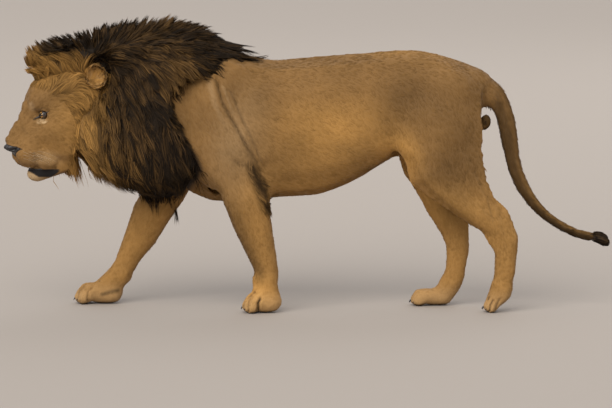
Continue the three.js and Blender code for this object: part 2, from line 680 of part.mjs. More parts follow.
// The crest and the ruff are nets on one field, which a level cut parts.
const crest = piece(maneField, followed([[-1125, 0, 1035], [-1000, 0, 1035], [-900, 0, 1030],
  [-600, 0, 1040], [-400, 0, 1060], [-235, 0, 1050]]), { rings: 11, around: 12, dome: [2, 1] });
const ruff = piece(maneField, followed([[-985, 0, 740], [-860, 0, 760], [-700, 0, 750],
  [-540, 0, 730], [-420, 0, 620]]), { rings: 8, around: 16, dome: [2, 1] });
const partLine = [[-700, 0, 930], [0.03, 0, 1]];
const flesh = [head.cutter, jaw.cutter, neck.cutter, trunkCutter, ...limbCutters,
  ...ears.map((each) => each.cutter)];
const crestBare = between(without(crest.solid, ...flesh), partLine);
const ruffBare = between(without(ruff.solid, ...flesh), [partLine[0], turned(partLine[1])]);
const forelockCut = [[-1000, 0, 1000], [1, 0, 0]];
add("mane_forelock", between(crestBare, [forelockCut[0], turned(forelockCut[1])]), "ruffHair");
add("mane_crest", between(crestBare, forelockCut), "maneHair");
for (const side of [left, right])
  add(`mane_${sideName(side)}`, between(ruffBare, [[0, 0, 0], [0, side, 0]]), "maneHair");

const elbowTuft = limb(0.7, [-232, -190, 620, 26], [-190, -186, 540, 40], [-168, -180, 450, 22]);
const tuftPiece = piece(elbowTuft, [[-228, -190, 612], [-190, -186, 540], [-170, -180, 455]],
  { rings: 3, around: 8, dome: [1, 1] });
add("elbow_tuft_left", without(tuftPiece.solid, trunk.cutter, ...limbCutters), "maneHair");

// The group's own origin goes under the middle of the bounding box, on the ground.
const box = new THREE.Box3().setFromObject(lion);
const middle = box.getCenter(new THREE.Vector3());
for (const mesh of lion.children) mesh.geometry.translate(-middle.x, -middle.y, -box.min.z);

export default lion;
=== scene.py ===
import math
import time

import bpy
import numpy as np
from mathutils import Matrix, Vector
from mathutils.bvhtree import BVHTree
from mathutils.kdtree import KDTree


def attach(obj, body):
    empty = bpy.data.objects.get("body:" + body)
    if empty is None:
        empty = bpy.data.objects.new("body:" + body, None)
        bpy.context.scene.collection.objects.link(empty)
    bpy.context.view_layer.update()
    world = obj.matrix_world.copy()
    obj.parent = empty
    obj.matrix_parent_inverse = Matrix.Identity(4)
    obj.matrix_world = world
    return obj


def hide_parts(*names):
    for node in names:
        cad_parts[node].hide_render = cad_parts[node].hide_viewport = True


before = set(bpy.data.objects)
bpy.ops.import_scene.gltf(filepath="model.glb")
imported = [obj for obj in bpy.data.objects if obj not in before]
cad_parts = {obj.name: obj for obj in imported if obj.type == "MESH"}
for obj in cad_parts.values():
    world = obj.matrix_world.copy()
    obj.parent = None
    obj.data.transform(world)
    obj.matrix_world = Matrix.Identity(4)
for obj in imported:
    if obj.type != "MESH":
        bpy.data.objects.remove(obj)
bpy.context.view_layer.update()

startTime = time.time()
mm = 0.001
sides = (-1, 1)                  # left is towards -Y
originShift = -6.7               # mm, from the drawing's X to the frame's X
headPivot = (-880, 0, 0)         # the head turns about this upright line
headYaw = math.radians(18)
seedStart = 4107


def report(stage):
    print("%5.1f s  %s" % (time.time() - startTime, stage))


def deselectAll():
    if bpy.context.object and bpy.context.object.mode != "OBJECT":
        bpy.ops.object.mode_set(mode="OBJECT")
    for thing in list(bpy.context.selected_objects):
        thing.select_set(False)


def pick(piece, *others):
    deselectAll()
    for thing in (piece,) + others:
        thing.select_set(True)
    bpy.context.view_layer.objects.active = piece


def applyAll(piece):
    pick(piece)
    for modifier in list(piece.modifiers):
        bpy.ops.object.modifier_apply(modifier=modifier.name)


def remeshed(piece, voxel, smoothing, factor=0.5):
    remesh = piece.modifiers.new("remesh", "REMESH")
    remesh.mode = "VOXEL"
    remesh.voxel_size = voxel
    remesh.use_smooth_shade = True
    if smoothing:
        soften = piece.modifiers.new("soften", "SMOOTH")
        soften.factor = factor
        soften.iterations = smoothing
    applyAll(piece)
    return piece


def joined(pieces, name):
    pick(pieces[0], *pieces[1:])
    if len(pieces) > 1:
        bpy.ops.object.join()
    pieces[0].name = name
    pieces[0].data.name = name
    return pieces[0]


def nodeCopy(names, label):
    # the frame's own nodes as one new mesh, their loose triangles merged
    copies = []
    for name in names:
        twin = bpy.data.objects.new(label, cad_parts[name].data.copy())
        bpy.context.scene.collection.objects.link(twin)
        twin.data.materials.clear()
        copies.append(twin)
    whole = joined(copies, label)
    bpy.ops.object.mode_set(mode="EDIT")
    bpy.ops.mesh.select_all(action="SELECT")
    bpy.ops.mesh.remove_doubles(threshold=0.00005)
    bpy.ops.object.mode_set(mode="OBJECT")
    return whole


def pointsOf(piece):
    flat = np.empty(len(piece.data.vertices) * 3)
    piece.data.vertices.foreach_get("co", flat)
    return flat.reshape(-1, 3)


def normalsOf(piece):
    flat = np.empty(len(piece.data.vertices) * 3, dtype=np.float32)
    piece.data.vertex_normals.foreach_get("vector", flat)
    return flat.reshape(-1, 3).astype(float)


def setPoints(piece, points):
    piece.data.vertices.foreach_set("co", points.ravel())
    piece.data.update()


def toDrawing(points):
    # metres in the frame -> millimetres in the drawing
    return points / mm - np.array([originShift, 0, 0])


def fromDrawing(points):
    return (np.asarray(points, dtype=float) + np.array([originShift, 0, 0])) * mm


def headTurn(back=False):
    angle = -headYaw if back else headYaw
    return np.array([[math.cos(angle), -math.sin(angle), 0],
                     [math.sin(angle), math.cos(angle), 0],
                     [0, 0, 1]])


def toHead(points):
    # millimetres in the drawing -> the head's own millimetres, before its turn
    return (points - np.array(headPivot)) @ headTurn(back=True).T


def fromHead(points):
    return np.asarray(points, dtype=float) @ headTurn().T + np.array(headPivot)


def unit(vectors):
    return vectors / np.maximum(np.linalg.norm(vectors, axis=-1, keepdims=True), 1e-9)


def ease(x):
    x = np.clip(x, 0, 1)
    return x * x * (3 - 2 * x)


def ramp(x, low, high):
    return ease((x - low) / (high - low))


def hump(points, centre, radii):
    return ease(1 - np.linalg.norm((points - np.array(centre)) / np.array(radii), axis=1))


def pathDistance(points, path):
    best = np.full(len(points), 1e9)
    along = np.zeros(len(points))
    path = np.asarray(path, dtype=float)
    for i in range(len(path) - 1):
        leg = path[i + 1] - path[i]
        t = np.clip(((points - path[i]) @ leg) / max(leg @ leg, 1e-9), 0, 1)
        gap = np.linalg.norm(points - path[i] - t[:, None] * leg, axis=1)
        closer = gap < best
        best = np.where(closer, gap, best)
        along = np.where(closer, (i + t) / (len(path) - 1), along)
    return best, along


def mirrored(path, side):
    return [(x, y * side, z) for x, y, z in path]


def onSide(place, side):
    # a place given for the left, on either side
    return np.array(place, dtype=float) * (1, side, 1)


def sideDistance(points, path):
    # how far each place is from a line (x, z), as seen from the side
    return pathDistance(points * np.array([1, 0, 1]), [(x, 0, z) for x, z in path])[0]


def ball(centre, radii, segments=32):
    # a UV sphere squashed to its radii, in millimetres
    bpy.ops.mesh.primitive_uv_sphere_add(segments=segments, ring_count=segments // 2, radius=1,
                                         location=Vector(centre) * mm, scale=Vector(radii) * mm)
    made = bpy.context.object
    bpy.ops.object.transform_apply(location=True, rotation=True, scale=True)
    return made


def boneBalls(stations, steps):
    # a run of balls between stations (x, y, z, radius)
    made = []
    for a, b in zip(stations[:-1], stations[1:]):
        for i in range(steps + 1):
            t = i / steps
            x, y, z, r = [a[k] + (b[k] - a[k]) * t for k in range(4)]
            made.append(ball((x, y, z), (r, r, r), segments=20))
    return made


def treeOf(piece):
    return BVHTree.FromObject(piece, bpy.context.evaluated_depsgraph_get())


def sunk(piece, depth):
    # the points of a piece moved inwards by a depth in mm, one for all or one each
    depth = np.broadcast_to(depth, len(piece.data.vertices)) * mm
    setPoints(piece, pointsOf(piece) - normalsOf(piece) * depth[:, None])


def refine(piece, near, cuts):
    # more faces where all corners are near, before fine work there
    pick(piece)
    bpy.ops.object.mode_set(mode="EDIT")
    bpy.ops.mesh.select_all(action="DESELECT")
    bpy.ops.mesh.select_mode(type="FACE")
    bpy.ops.object.mode_set(mode="OBJECT")
    for face in piece.data.polygons:
        if all(near[i] for i in face.vertices):
            face.select = True
    bpy.ops.object.mode_set(mode="EDIT")
    bpy.ops.mesh.subdivide(number_cuts=cuts, smoothness=1)
    bpy.ops.object.mode_set(mode="OBJECT")


def cutAway(piece, chosen):
    pick(piece)
    bpy.ops.object.mode_set(mode="EDIT")
    bpy.ops.mesh.select_all(action="DESELECT")
    bpy.ops.mesh.select_mode(type="VERT")
    bpy.ops.object.mode_set(mode="OBJECT")
    piece.data.vertices.foreach_set("select", chosen.tolist())
    bpy.ops.object.mode_set(mode="EDIT")
    bpy.ops.mesh.delete(type="VERT")
    bpy.ops.object.mode_set(mode="OBJECT")


# the skin: the flesh's own shape, with the head worked finer
skinShape = {
    "bodyVoxel": 0.010,
    "headVoxel": 0.0042,
    "bodySoftening": 8,
    "headSoftening": 20,
    "headFinish": 14,
    "faceCoat": 4,
    "trunkCoat": 9,      # mm of coat left free over the skin
    "legCoat": 5,
    "pawCoat": 2.5,
    "tailCoat": 1.5,
    "wallShare": 0.36,   # at most this much of a thin wall
    "flankSoftening": 40,
}

headBalls = [  # extra flesh over the plain head, centre and radii: one each on the middle line
    ((-262, 0, 700), (90, 56, 74)),
    ((-264, 0, 578), (40, 34, 32)),
    ((-374, 0, 722), (22, 24, 20)),        # bridge, down to the nose
    ((-358, 0, 746), (22, 24, 26)),
    ((-343, 0, 770), (21, 24, 30)),
    ((-320, 0, 806), (19, 24, 36)),
    ((-308, 0, 848), (17, 28, 38)),
]
headPairs = [  # a pair, left and right
    ((-258, 46, 878), (36, 32, 40)),       # brow
    ((-300, 37, 660), (60, 42, 50)),       # whisker pad
    ((-226, 58, 636), (58, 26, 36)),       # flew
    ((-368, 21, 688), (28, 14, 15)),       # wing of the nose
    ((-36, 84, 934), (28, 22, 30)),        # root of the ear
]
eyePlace = (-244, 59, 829)
eyeRadius = 19


headStrokes = [  # lines pressed into each side of the head, or raised below 0: reach, depth
    ([(-292, 42, 812), (-330, 36, 750), (-362, 32, 706)], 13, 3.5),                       # beside the bridge
    ([(-300, 30, 856), (-276, 58, 858), (-246, 74, 850)], 11, -4),                        # brow fold
    ([(-286, 54, 800), (-262, 72, 796), (-228, 84, 806)], 10, -3),                        # under the eye
    ([(-292, 56, 784), (-262, 76, 776), (-224, 88, 784)], 11, 2.5),
    ([(-352, 14, 632), (-322, 40, 616), (-266, 60, 604), (-206, 64, 606)], 13, -5),       # lip hem
    ([(-206, 68, 604), (-184, 74, 640), (-206, 76, 700)], 18, 4),                         # behind the pad
    ([(-290, 16, 590), (-252, 40, 594), (-206, 56, 604)], 10, -3),                        # lower lip
]
headStrokes += [  # whisker rows
    ([(-346 + row * 3, 36, 680 - row * 15), (-306, 72, 684 - row * 15), (-256, 76, 690 - row * 15)], 5, 1.6)
    for row in range(4)
]
eyeSocket = {"place": (-268, 70, 826), "radii": (34, 30, 26), "depth": 9}
lipCleft = ([(-398, 0, 660), (-386, 0, 636), (-350, 0, 612)], 9, 6)
noseStrokes = [  # each side of the nose: reach, depth
    ([(-408, 9, 677), (-397, 20, 675), (-376, 33, 680), (-360, 39, 687)], 7, 8),          # nostril
    ([(-404, 16, 690), (-384, 30, 693), (-364, 36, 698)], 10, -3),                        # its wing
]
noseGroove = ([(-410, 0, 694), (-406, 0, 672), (-396, 0, 650)], 4.5, 2.5)


def pressed(head, points, path, reach, depth):
    # the head's points in mm, pushed in along a line
    gap, _ = pathDistance(points, path)
    setPoints(head, points * mm)
    return points - normalsOf(head) * (ease(1 - gap / reach) * depth)[:, None]


def makeHead():
    deselectAll()
    plain = nodeCopy(["head", "jaw", "nose"], "head_shape")
    setPoints(plain, toHead(toDrawing(pointsOf(plain))) * mm)
    remeshed(plain, skinShape["headVoxel"], skinShape["headSoftening"])
    sunk(plain, skinShape["faceCoat"])
    deselectAll()
    made = [plain] + [ball(centre, radii) for centre, radii in headBalls]
    for side in sides:
        made += [ball(onSide(centre, side), radii) for centre, radii in headPairs]
    head = joined(made, "head_shape")
    remeshed(head, skinShape["headVoxel"], skinShape["headFinish"])
    sculptHead(head)
    return head


def sculptHead(head):
    points = pointsOf(head) / mm
    for side in sides:
        weight = hump(points, onSide(eyeSocket["place"], side), eyeSocket["radii"])
        points = points - weight[:, None] * np.array([0, side, 0]) * eyeSocket["depth"]
        for path, reach, depth in headStrokes:
            points = pressed(head, points, mirrored(path, side), reach, depth)
    setPoints(head, pressed(head, points, *lipCleft) * mm)
    refineRound(head, [onSide(eyePlace, side) for side in sides], 34)
    fitLids(head)
    refineRound(head, [(-380, 0, 678)], 50)
    points = pointsOf(head) / mm
    for side in sides:
        for path, reach, depth in noseStrokes:
            points = pressed(head, points, mirrored(path, side), reach, depth)
    setPoints(head, pressed(head, points, *noseGroove) * mm)


def refineRound(head, places, reach):
    points = pointsOf(head) / mm
    near = np.zeros(len(points), dtype=bool)
    for place in places:
        near |= np.linalg.norm(points - np.array(place), axis=1) < reach
    refine(head, near, 2)


leatherShape = {   # the bare nose, in the head's own millimetres
    "top": 703,
    "topCurve": 0.0045,
    "bottom": 642,
    "flare": 0.8,        # how fast its lower edge rises to the sides
    "back": -324,
    "over": 1.8,         # how far the pad stands over the skin
    "thick": 4,
}


def leatherEdge(points):
    # above 0 inside the bare leather
    x, y, z = points[:, 0], np.abs(points[:, 1]), points[:, 2]
    top = leatherShape["top"] - leatherShape["topCurve"] * y ** 2 - z
    bottom = z - (leatherShape["bottom"] + leatherShape["flare"] * np.maximum(y - 4, 0))
    return np.minimum(np.minimum(top, bottom), leatherShape["back"] - x)


lidShape = {
    "facing": (-0.74, 0.66, 0.06),     # the way the opening looks, left side
    "slant": 0.46,                     # how far the outer corner rises
    "halfWidth": 58,                   # degrees round the ball
    "upper": 13,
    "lower": 13,
    "radius": 20.6,                    # mm, the lid over the ball
    "sunk": 12.5,                      # and the skin behind it
    "fold": 2.2,                       # the fold round the opening
    "reach": 44,
}


def eyeFrame(side):
    out = unit(onSide(lidShape["facing"], side))
    back = onSide((0.62, 0.65, lidShape["slant"]), side)
    back = unit(back - (back @ out) * out)
    up = np.cross(out, back) * -side
    return out, back, up if up[2] > 0 else -up


def lidEdge(a):
    # upper and lower edge of the opening, in degrees, at a degrees from its middle
    round_ = np.clip(1 - (a / lidShape["halfWidth"]) ** 2, 0, 1)
    return lidShape["upper"] * round_ ** 0.7, -lidShape["lower"] * round_ ** 0.9


def fitLids(head):
    points = pointsOf(head) / mm
    for side in sides:
        out, back, up = eyeFrame(side)
        ray = points - onSide(eyePlace, side)
        reach = np.linalg.norm(ray, axis=1)
        ray = ray / np.maximum(reach, 1e-6)[:, None]
        a = np.degrees(np.arctan2(ray @ back, ray @ out))
        b = np.degrees(np.arctan2(ray @ up, ray @ out))
        top, bottom = lidEdge(a)
        outside = np.maximum(np.maximum(b - top, bottom - b), np.abs(a) - lidShape["halfWidth"])
        fold = lidShape["fold"] * np.exp(-((outside - 12) / 9) ** 2)
        wanted = np.where(outside < 0, lidShape["sunk"], lidShape["radius"] + fold)
        hold = (1 - ramp(outside, 6, 46)) * (ray @ out > 0.05) * (reach < lidShape["reach"])
        points = points + ray * ((wanted - reach) * hold)[:, None]
    setPoints(head, points * mm)


feet = {   # each foot's middle y, width and toe stations (x, z, radius); a z of 0 rests on the ground
    "fore_left": (-141, 138, [(-205, 58, 33), (-230, 56, 32), (-249, 0, 32)]),
    "fore_right": (141, 138, [(-900, 62, 34), (-938, 60, 35), (-964, 0, 33)]),
    "hind_left": (-125, 116, [(802, 74, 30), (774, 54, 29), (754, 0, 28)]),
    "hind_right": (80, 118, [(505, 48, 30), (474, 46, 30), (456, 0, 28)]),
}
toePlan = {
    "setBack": (14, 0, 0, 14),         # mm, the outer toes stand back
    "between": (-0.66, 0.0, 0.66),     # the grooves' places across the foot
    "grooveReach": 11,
    "grooveDepth": 13,
    "share": 0.9,
    "soleCut": 4,
}


def toesOf(foot):
    # the stations of the four toes, from side to side
    return [toeStations(foot, (i - 1.5) / 1.5, back) for i, back in enumerate(toePlan["setBack"])]


def toeStations(foot, across, back=0.0):
    y, wide, stations = feet[foot]
    run = []
    for n, (x, z, r) in enumerate(stations):
        z = z or r - toePlan["soleCut"]
        spread = across * (wide / 2 - r) * (0.85 + 0.07 * n)
        run.append((x + back, y + spread, z - back * 0.3, r * toePlan["share"]))
    return run


def toeGroove(foot, across):
    (x0, y0, z0, r0), (x1, y1, z1, r1), (x2, y2, z2, r2) = toeStations(foot, across, 5)
    return [(x0 + 12, y0, z0 + r0 + 3), (x1, y1, z1 + r1 + 2), (x2 - r2 * 0.72, y2, z2 + r2 * 0.85),
            (x2 - r2 - 5, y2, z2), (x2 - r2, y2, 4)]


toeSides = [   # slits on the sides of the feet that face the near side (x, z): reach, depth, side of the body
    ([(-196, 66), (-205, 45), (-204, 28), (-206, 2)], 11, 12, -1),
    ([(-231, 76), (-243, 52), (-247, 30), (-246, 2)], 10, 9, -1),
    ([(774, 56), (762, 35), (758, 6)], 9, 8, -1),
    ([(802, 62), (790, 40), (784, 12)], 9, 6, -1),
    ([(-944, 78), (-965, 58), (-970, 28), (-966, 4)], 9, 7, 1),
    ([(-905, 84), (-925, 60), (-930, 30), (-926, 4)], 10, 7, 1),
    ([(482, 56), (467, 35), (463, 6)], 9, 7, 1),
    ([(508, 58), (493, 38), (491, 8)], 9, 6, 1),
]


def creased(body, lines, facingSide=False):
    for path, reach, depth, side in lines:
        points = toDrawing(pointsOf(body))
        sink = ease(1 - sideDistance(points, path) / reach) * depth * (points[:, 1] * side > 40)
        if facingSide:
            sink = sink * ramp(-normalsOf(body)[:, 1], 0.1, 0.5)
        sunk(body, sink)


def sculptFeet(body):
    points = toDrawing(pointsOf(body))
    refine(body, (points[:, 2] < 100) & (np.abs(points[:, 1]) > 10), 1)
    for foot in feet:
        for across in toePlan["between"]:
            gap, _ = pathDistance(toDrawing(pointsOf(body)), toeGroove(foot, across))
            sunk(body, ease(1 - gap / toePlan["grooveReach"]) * toePlan["grooveDepth"])
    creased(body, toeSides, facingSide=True)


bodyCreases = [   # lines pressed into a side's skin, seen from the side (x, z): reach, depth in mm, side
    ([(-380, 985), (-352, 880), (-300, 785), (-255, 705), (-215, 640), (-196, 590)], 15, 8, -1),
    ([(-330, 930), (-300, 850), (-262, 770), (-232, 700), (-205, 640)], 12, 4, -1),
    ([(-315, 960), (-268, 850), (-226, 760), (-196, 680), (-178, 610)], 12, 3, -1),
    ([(-470, 900), (-420, 780), (-350, 690), (-280, 620)], 26, 3, -1),
    ([(700, 600), (742, 500), (790, 440), (812, 400)], 15, 6, -1),
    ([(664, 585), (640, 500), (700, 440)], 16, 2.5, -1),
    ([(330, 800), (352, 720), (372, 660), (400, 610)], 24, 3, -1),
    ([(-300, 640), (-255, 620), (-220, 585)], 14, 4, -1),
    ([(-560, 900), (-500, 760), (-420, 620), (-380, 560)], 16, 5, 1),
]


tailLine = [   # the tail's middle and radius in mm
    (797, -2, 872, 46), (816, -4, 834, 41), (832, -6, 780, 40), (846, -8, 710, 35), (857, -8, 640, 31),
    (875, -6, 575, 29), (905, -2, 510, 27), (945, 4, 448, 22), (995, 10, 395, 19.5), (1055, 16, 352, 18),
    (1120, 20, 318, 17.5), (1190, 22, 299, 18),
]


def roundTail(body):
    # the thin tail brought back to its own radius after the softening, and its end into the tuft
    points = toDrawing(pointsOf(body))
    points[:, 0] += 22 * ramp(points[:, 0], 1160, 1186)
    best = np.full(len(points), 1e9)
    centre, radius = points.copy(), np.zeros(len(points))
    for a, b in zip(tailLine[:-1], tailLine[1:]):
        start, leg = np.array(a[:3], dtype=float), np.subtract(b[:3], a[:3])
        t = np.clip((points - start) @ leg / (leg @ leg), 0, 1)
        place = start + t[:, None] * leg
        gap = np.linalg.norm(points - place, axis=1)
        closer = gap < best
        best = np.where(closer, gap, best)
        centre[closer] = place[closer]
        radius = np.where(closer, a[3] + (b[3] - a[3]) * t, radius)
    wanted = centre + unit(points - centre) * (radius - skinShape["tailCoat"])[:, None]
    hold = ramp(points[:, 0], 830, 880) * (best < radius * 2) * (points[:, 2] > 250)
    hold *= ramp(-points[:, 0], -1200, -1188)
    setPoints(body, fromDrawing(points + (wanted - points) * hold[:, None]))


def easeFlank(body):
    # the belly's side rounded where two fields of flesh meet
    points = toDrawing(pointsOf(body))
    x, z = points[:, 0], points[:, 2]
    weight = ramp(x, -190, -110) * ramp(-x, -430, -350) * ramp(-z, -760, -700)
    flank = body.vertex_groups.new(name="flank")
    for step in range(1, 11):
        flank.add(np.nonzero(np.round(weight * 10) == step)[0].tolist(), step / 10, "REPLACE")
    soften = body.modifiers.new("soften", "SMOOTH")
    soften.factor = 0.5
    soften.iterations = skinShape["flankSoftening"]
    soften.vertex_group = "flank"
    applyAll(body)
    body.vertex_groups.clear()


def wallDepth(piece):
    # mm of flesh straight below each point, so that a thin edge isn't turned inside out
    tree = treeOf(piece)
    found = np.full(len(piece.data.vertices), 200.0)
    for i, (point, normal) in enumerate(zip(pointsOf(piece), normalsOf(piece))):
        _, _, _, gap = tree.ray_cast(point - normal * mm, -normal, 0.2)
        if gap is not None:
            found[i] = gap / mm
    return found


def makeBody():
    flesh = [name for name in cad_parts
             if name.startswith(("shoulder", "forearm", "fore_paw", "thigh", "shank", "hock", "hind_paw",
                                 "neck", "chest", "belly", "rump", "tail_root", "tail_middle", "tail_end"))]
    body = nodeCopy(flesh, "body_shape")
    deselectAll()
    toes = []
    for foot in feet:
        for run in toesOf(foot):
            toes += boneBalls([(x + originShift, y, z, r) for x, y, z, r in run], steps=3)
    body = joined([body] + toes, "body_shape")
    remeshed(body, skinShape["bodyVoxel"], skinShape["bodySoftening"])
    easeFlank(body)
    points = toDrawing(pointsOf(body))
    x, z = points[:, 0], points[:, 2]
    depth = np.full(len(points), float(skinShape["trunkCoat"]))
    depth = depth + (skinShape["legCoat"] - depth) * ramp(-z, -560, -380)
    depth = depth + (skinShape["pawCoat"] - depth) * ramp(-z, -170, -90)
    depth = depth + (skinShape["tailCoat"] - depth) * ramp(x, 770, 820)
    sunk(body, np.minimum(depth, wallDepth(body) * skinShape["wallShare"]))
    roundTail(body)
    creased(body, bodyCreases)
    sculptFeet(body)
    return body


def makeLeather(head):
    # the bare nose is a thin pad over the skin's own shape
    pad = head.copy()
    pad.data = head.data.copy()
    bpy.context.scene.collection.objects.link(pad)
    pad.name = pad.data.name = "nose_leather"
    cutAway(pad, leatherEdge(toHead(toDrawing(pointsOf(pad)))) <= 0)
    sunk(pad, -leatherShape["over"])
    even = pad.modifiers.new("even", "SMOOTH")
    even.iterations = 3
    wall = pad.modifiers.new("wall", "SOLIDIFY")
    wall.thickness = leatherShape["thick"] * mm
    wall.offset = -1
    applyAll(pad)
    pad.data.shade_smooth()
    return pad


def makeSkin():
    body = makeBody()
    report("body shape, %d faces" % len(body.data.polygons))
    head = makeHead()
    setPoints(head, fromDrawing(fromHead(pointsOf(head) / mm)))
    head.name = "head_shape"
    report("head shape, %d faces" % len(head.data.polygons))
    makeLeather(head)
    union = body.modifiers.new("union", "BOOLEAN")
    union.operation = "UNION"
    union.solver = "MANIFOLD"
    union.object = head
    applyAll(body)
    bpy.data.objects.remove(head, do_unlink=True)
    body.name = body.data.name = "skin"
    body.data.shade_smooth()
    return body


skin = makeSkin()
report("skin joined, %d faces" % len(skin.data.polygons))

# the mass under the mane
maneShape = {
    "voxel": 0.013,
    "softening": 12,
    "hairDepth": 26,     # mm from the hair's tips down to the mass that it covers
    "underDepth": 62,    # more where it hangs free below
    "crestDepth": 22,    # more along the upright crest
    "edgeDepth": 50,     # more where the mane ends, so that it dives into the skin
    "margin": 8,         # mm of it kept below the skin
}

# the hair's own rear edge on the shoulder, as (z, x) in mm
maneRear = [
    (480, -495), (530, -468), (570, -442), (602, -428), (640, -436), (685, -462), (768, -525), (810, -545),
    (893, -560), (926, -545), (947, -515), (972, -465), (992, -405), (1005, -350), (1018, -265), (1034, -200),
    (1067, -130),
]


def maneAhead(points):
    # how far ahead of the mane's rear edge, in mm; the middle of the back has its own end
    heights, edge = zip(*maneRear)
    ahead = np.interp(points[:, 2], heights, edge) - points[:, 0]
    return ahead + 400 * (1 - ramp(np.abs(points[:, 1]), 30, 90)) * ramp(points[:, 2], 900, 1000)


def maneStands(points):
    # 1 where long hair grows, 0 on the face and behind the mane
    own = toHead(points)
    face = ramp(-own[:, 0], 150, 175) * ramp(-own[:, 2], -950, -925)
    return ramp(maneAhead(points), -12, 30) * (1 - face)


def makeManeMass():
    # the flesh and the mane as one swelling, sunk until only the mane stands out of the skin
    names = [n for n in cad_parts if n.startswith(("mane", "head", "neck", "chest", "shoulder", "jaw"))]
    mass = nodeCopy(names, "mane_mass")
    remeshed(mass, maneShape["voxel"], maneShape["softening"])
    cover = treeOf(mass)
    for _ in range(2):
        up = normalsOf(mass)[:, 2]
        depth = maneShape["hairDepth"] + maneShape["underDepth"] * ramp(-up, 0.25, 1.0)
        depth += maneShape["crestDepth"] * ramp(up, 0.5, 1.0)
        depth += maneShape["edgeDepth"] * (1 - maneStands(toDrawing(pointsOf(mass))))
        sunk(mass, depth / 2)
    soften = mass.modifiers.new("soften", "SMOOTH")
    soften.iterations = 4
    applyAll(mass)
    return mass, cover


def signedHeights(tree, points):
    heights = np.empty(len(points))
    for i, point in enumerate(points):
        near, normal, _, _ = tree.find_nearest(point)
        gap = Vector(point) - near
        heights[i] = gap.dot(normal) if gap.dot(normal) < -0.6 * gap.length else gap.length
    return heights


skinTree = treeOf(skin)
maneMass, coverTree = makeManeMass()
maneTree = treeOf(maneMass)


def trimManeMass():
    # what lies inside the skin goes, with a margin left under it
    over = signedHeights(skinTree, pointsOf(maneMass)) / mm
    stands = maneStands(toDrawing(pointsOf(maneMass)))
    cutAway(maneMass, (stands < 0.06) | (over < -maneShape["margin"]))


trimManeMass()
maneMass.data.shade_smooth()
report("mane mass, %d faces" % len(maneMass.data.polygons))

# soft patches of the coat's colours: place (x, y, z) and reach in mm, strength;
# y is given for the left side, and the right is the same
paleZones = [
    ((-1100, 110, 804), (28, 60, 11), 0.7),      # under the eye
    ((-1140, 90, 862), (22, 60, 24), 0.55),      # over the eye
    ((-1150, 80, 562), (70, 90, 44), 0.7),       # chin
    ((-1150, 90, 640), (60, 80, 30), 0.22),      # lip
    ((-1080, 110, 650), (80, 70, 40), 0.30),     # jaw
    ((-270, 190, 800), (130, 120, 190), 0.10),   # upper arm
    ((-330, 190, 640), (110, 120, 200), 0.08),
]
goldZones = [
    ((-1000, 110, 760), (110, 90, 190), 0.75),   # cheek ruff
    ((-1110, 60, 1030), (110, 110, 130), 1.0),   # forelock
    ((-1120, 60, 700), (160, 110, 120), 0.40),   # muzzle side
    ((-890, 110, 980), (70, 90, 70), 0.9),       # ear
    ((370, 150, 640), (110, 160, 130), 0.9),     # flank fold
    ((560, 90, 470), (200, 160, 120), 0.35),     # front of the thigh
    ((60, 110, 520), (420, 160, 170), 0.40),     # belly
    ((420, 0, 1090), (340, 90, 60), 0.25),       # over the loin
    ((130, 190, 760), (330, 110, 180), 0.62),    # flank
    ((-200, 141, 60), (110, 120, 110), 0.5),     # paws
]
darkZones = [
    ((-205, 150, 510), (45, 60, 130), 0.5),      # behind the elbow
    ((640, 170, 800), (150, 120, 200), 0.20),
    ((430, 150, 900), (150, 130, 200), 0.36),
    ((600, 150, 560), (150, 120, 150), 0.26),
    ((600, 90, 420), (130, 120, 150), 0.24),
    ((-60, 170, 720), (180, 120, 120), 0.12),
    ((-190, 170, 900), (90, 120, 120), 0.16),
    ((-1190, 50, 780), (50, 60, 110), 0.26),     # side of the muzzle
    ((-1150, 90, 900), (60, 80, 70), 0.12),      # brow
    ((-1050, 120, 860), (70, 60, 70), 0.20),     # temple
    ((-1060, 120, 740), (60, 60, 60), 0.16),
    ((-1010, 120, 690), (70, 60, 60), 0.12),
]


zoneFade = 1.35   # how much further than its reach a patch fades out


def zoneSum(points, zones):
    folded = points.copy()
    folded[:, 1] = np.abs(folded[:, 1])
    total = np.zeros(len(points))
    for centre, reach, strength in zones:
        total += strength * hump(folded, centre, np.array(reach) * zoneFade)
    return np.clip(total, 0, 1)


tailRun = [(745, 0, 960)] + [station[:3] for station in tailLine] + [(1230, 22, 295), (1262, 22, 272)]
elbowLine = [(-236, 622), (-214, 562), (-192, 502), (-174, 455)]

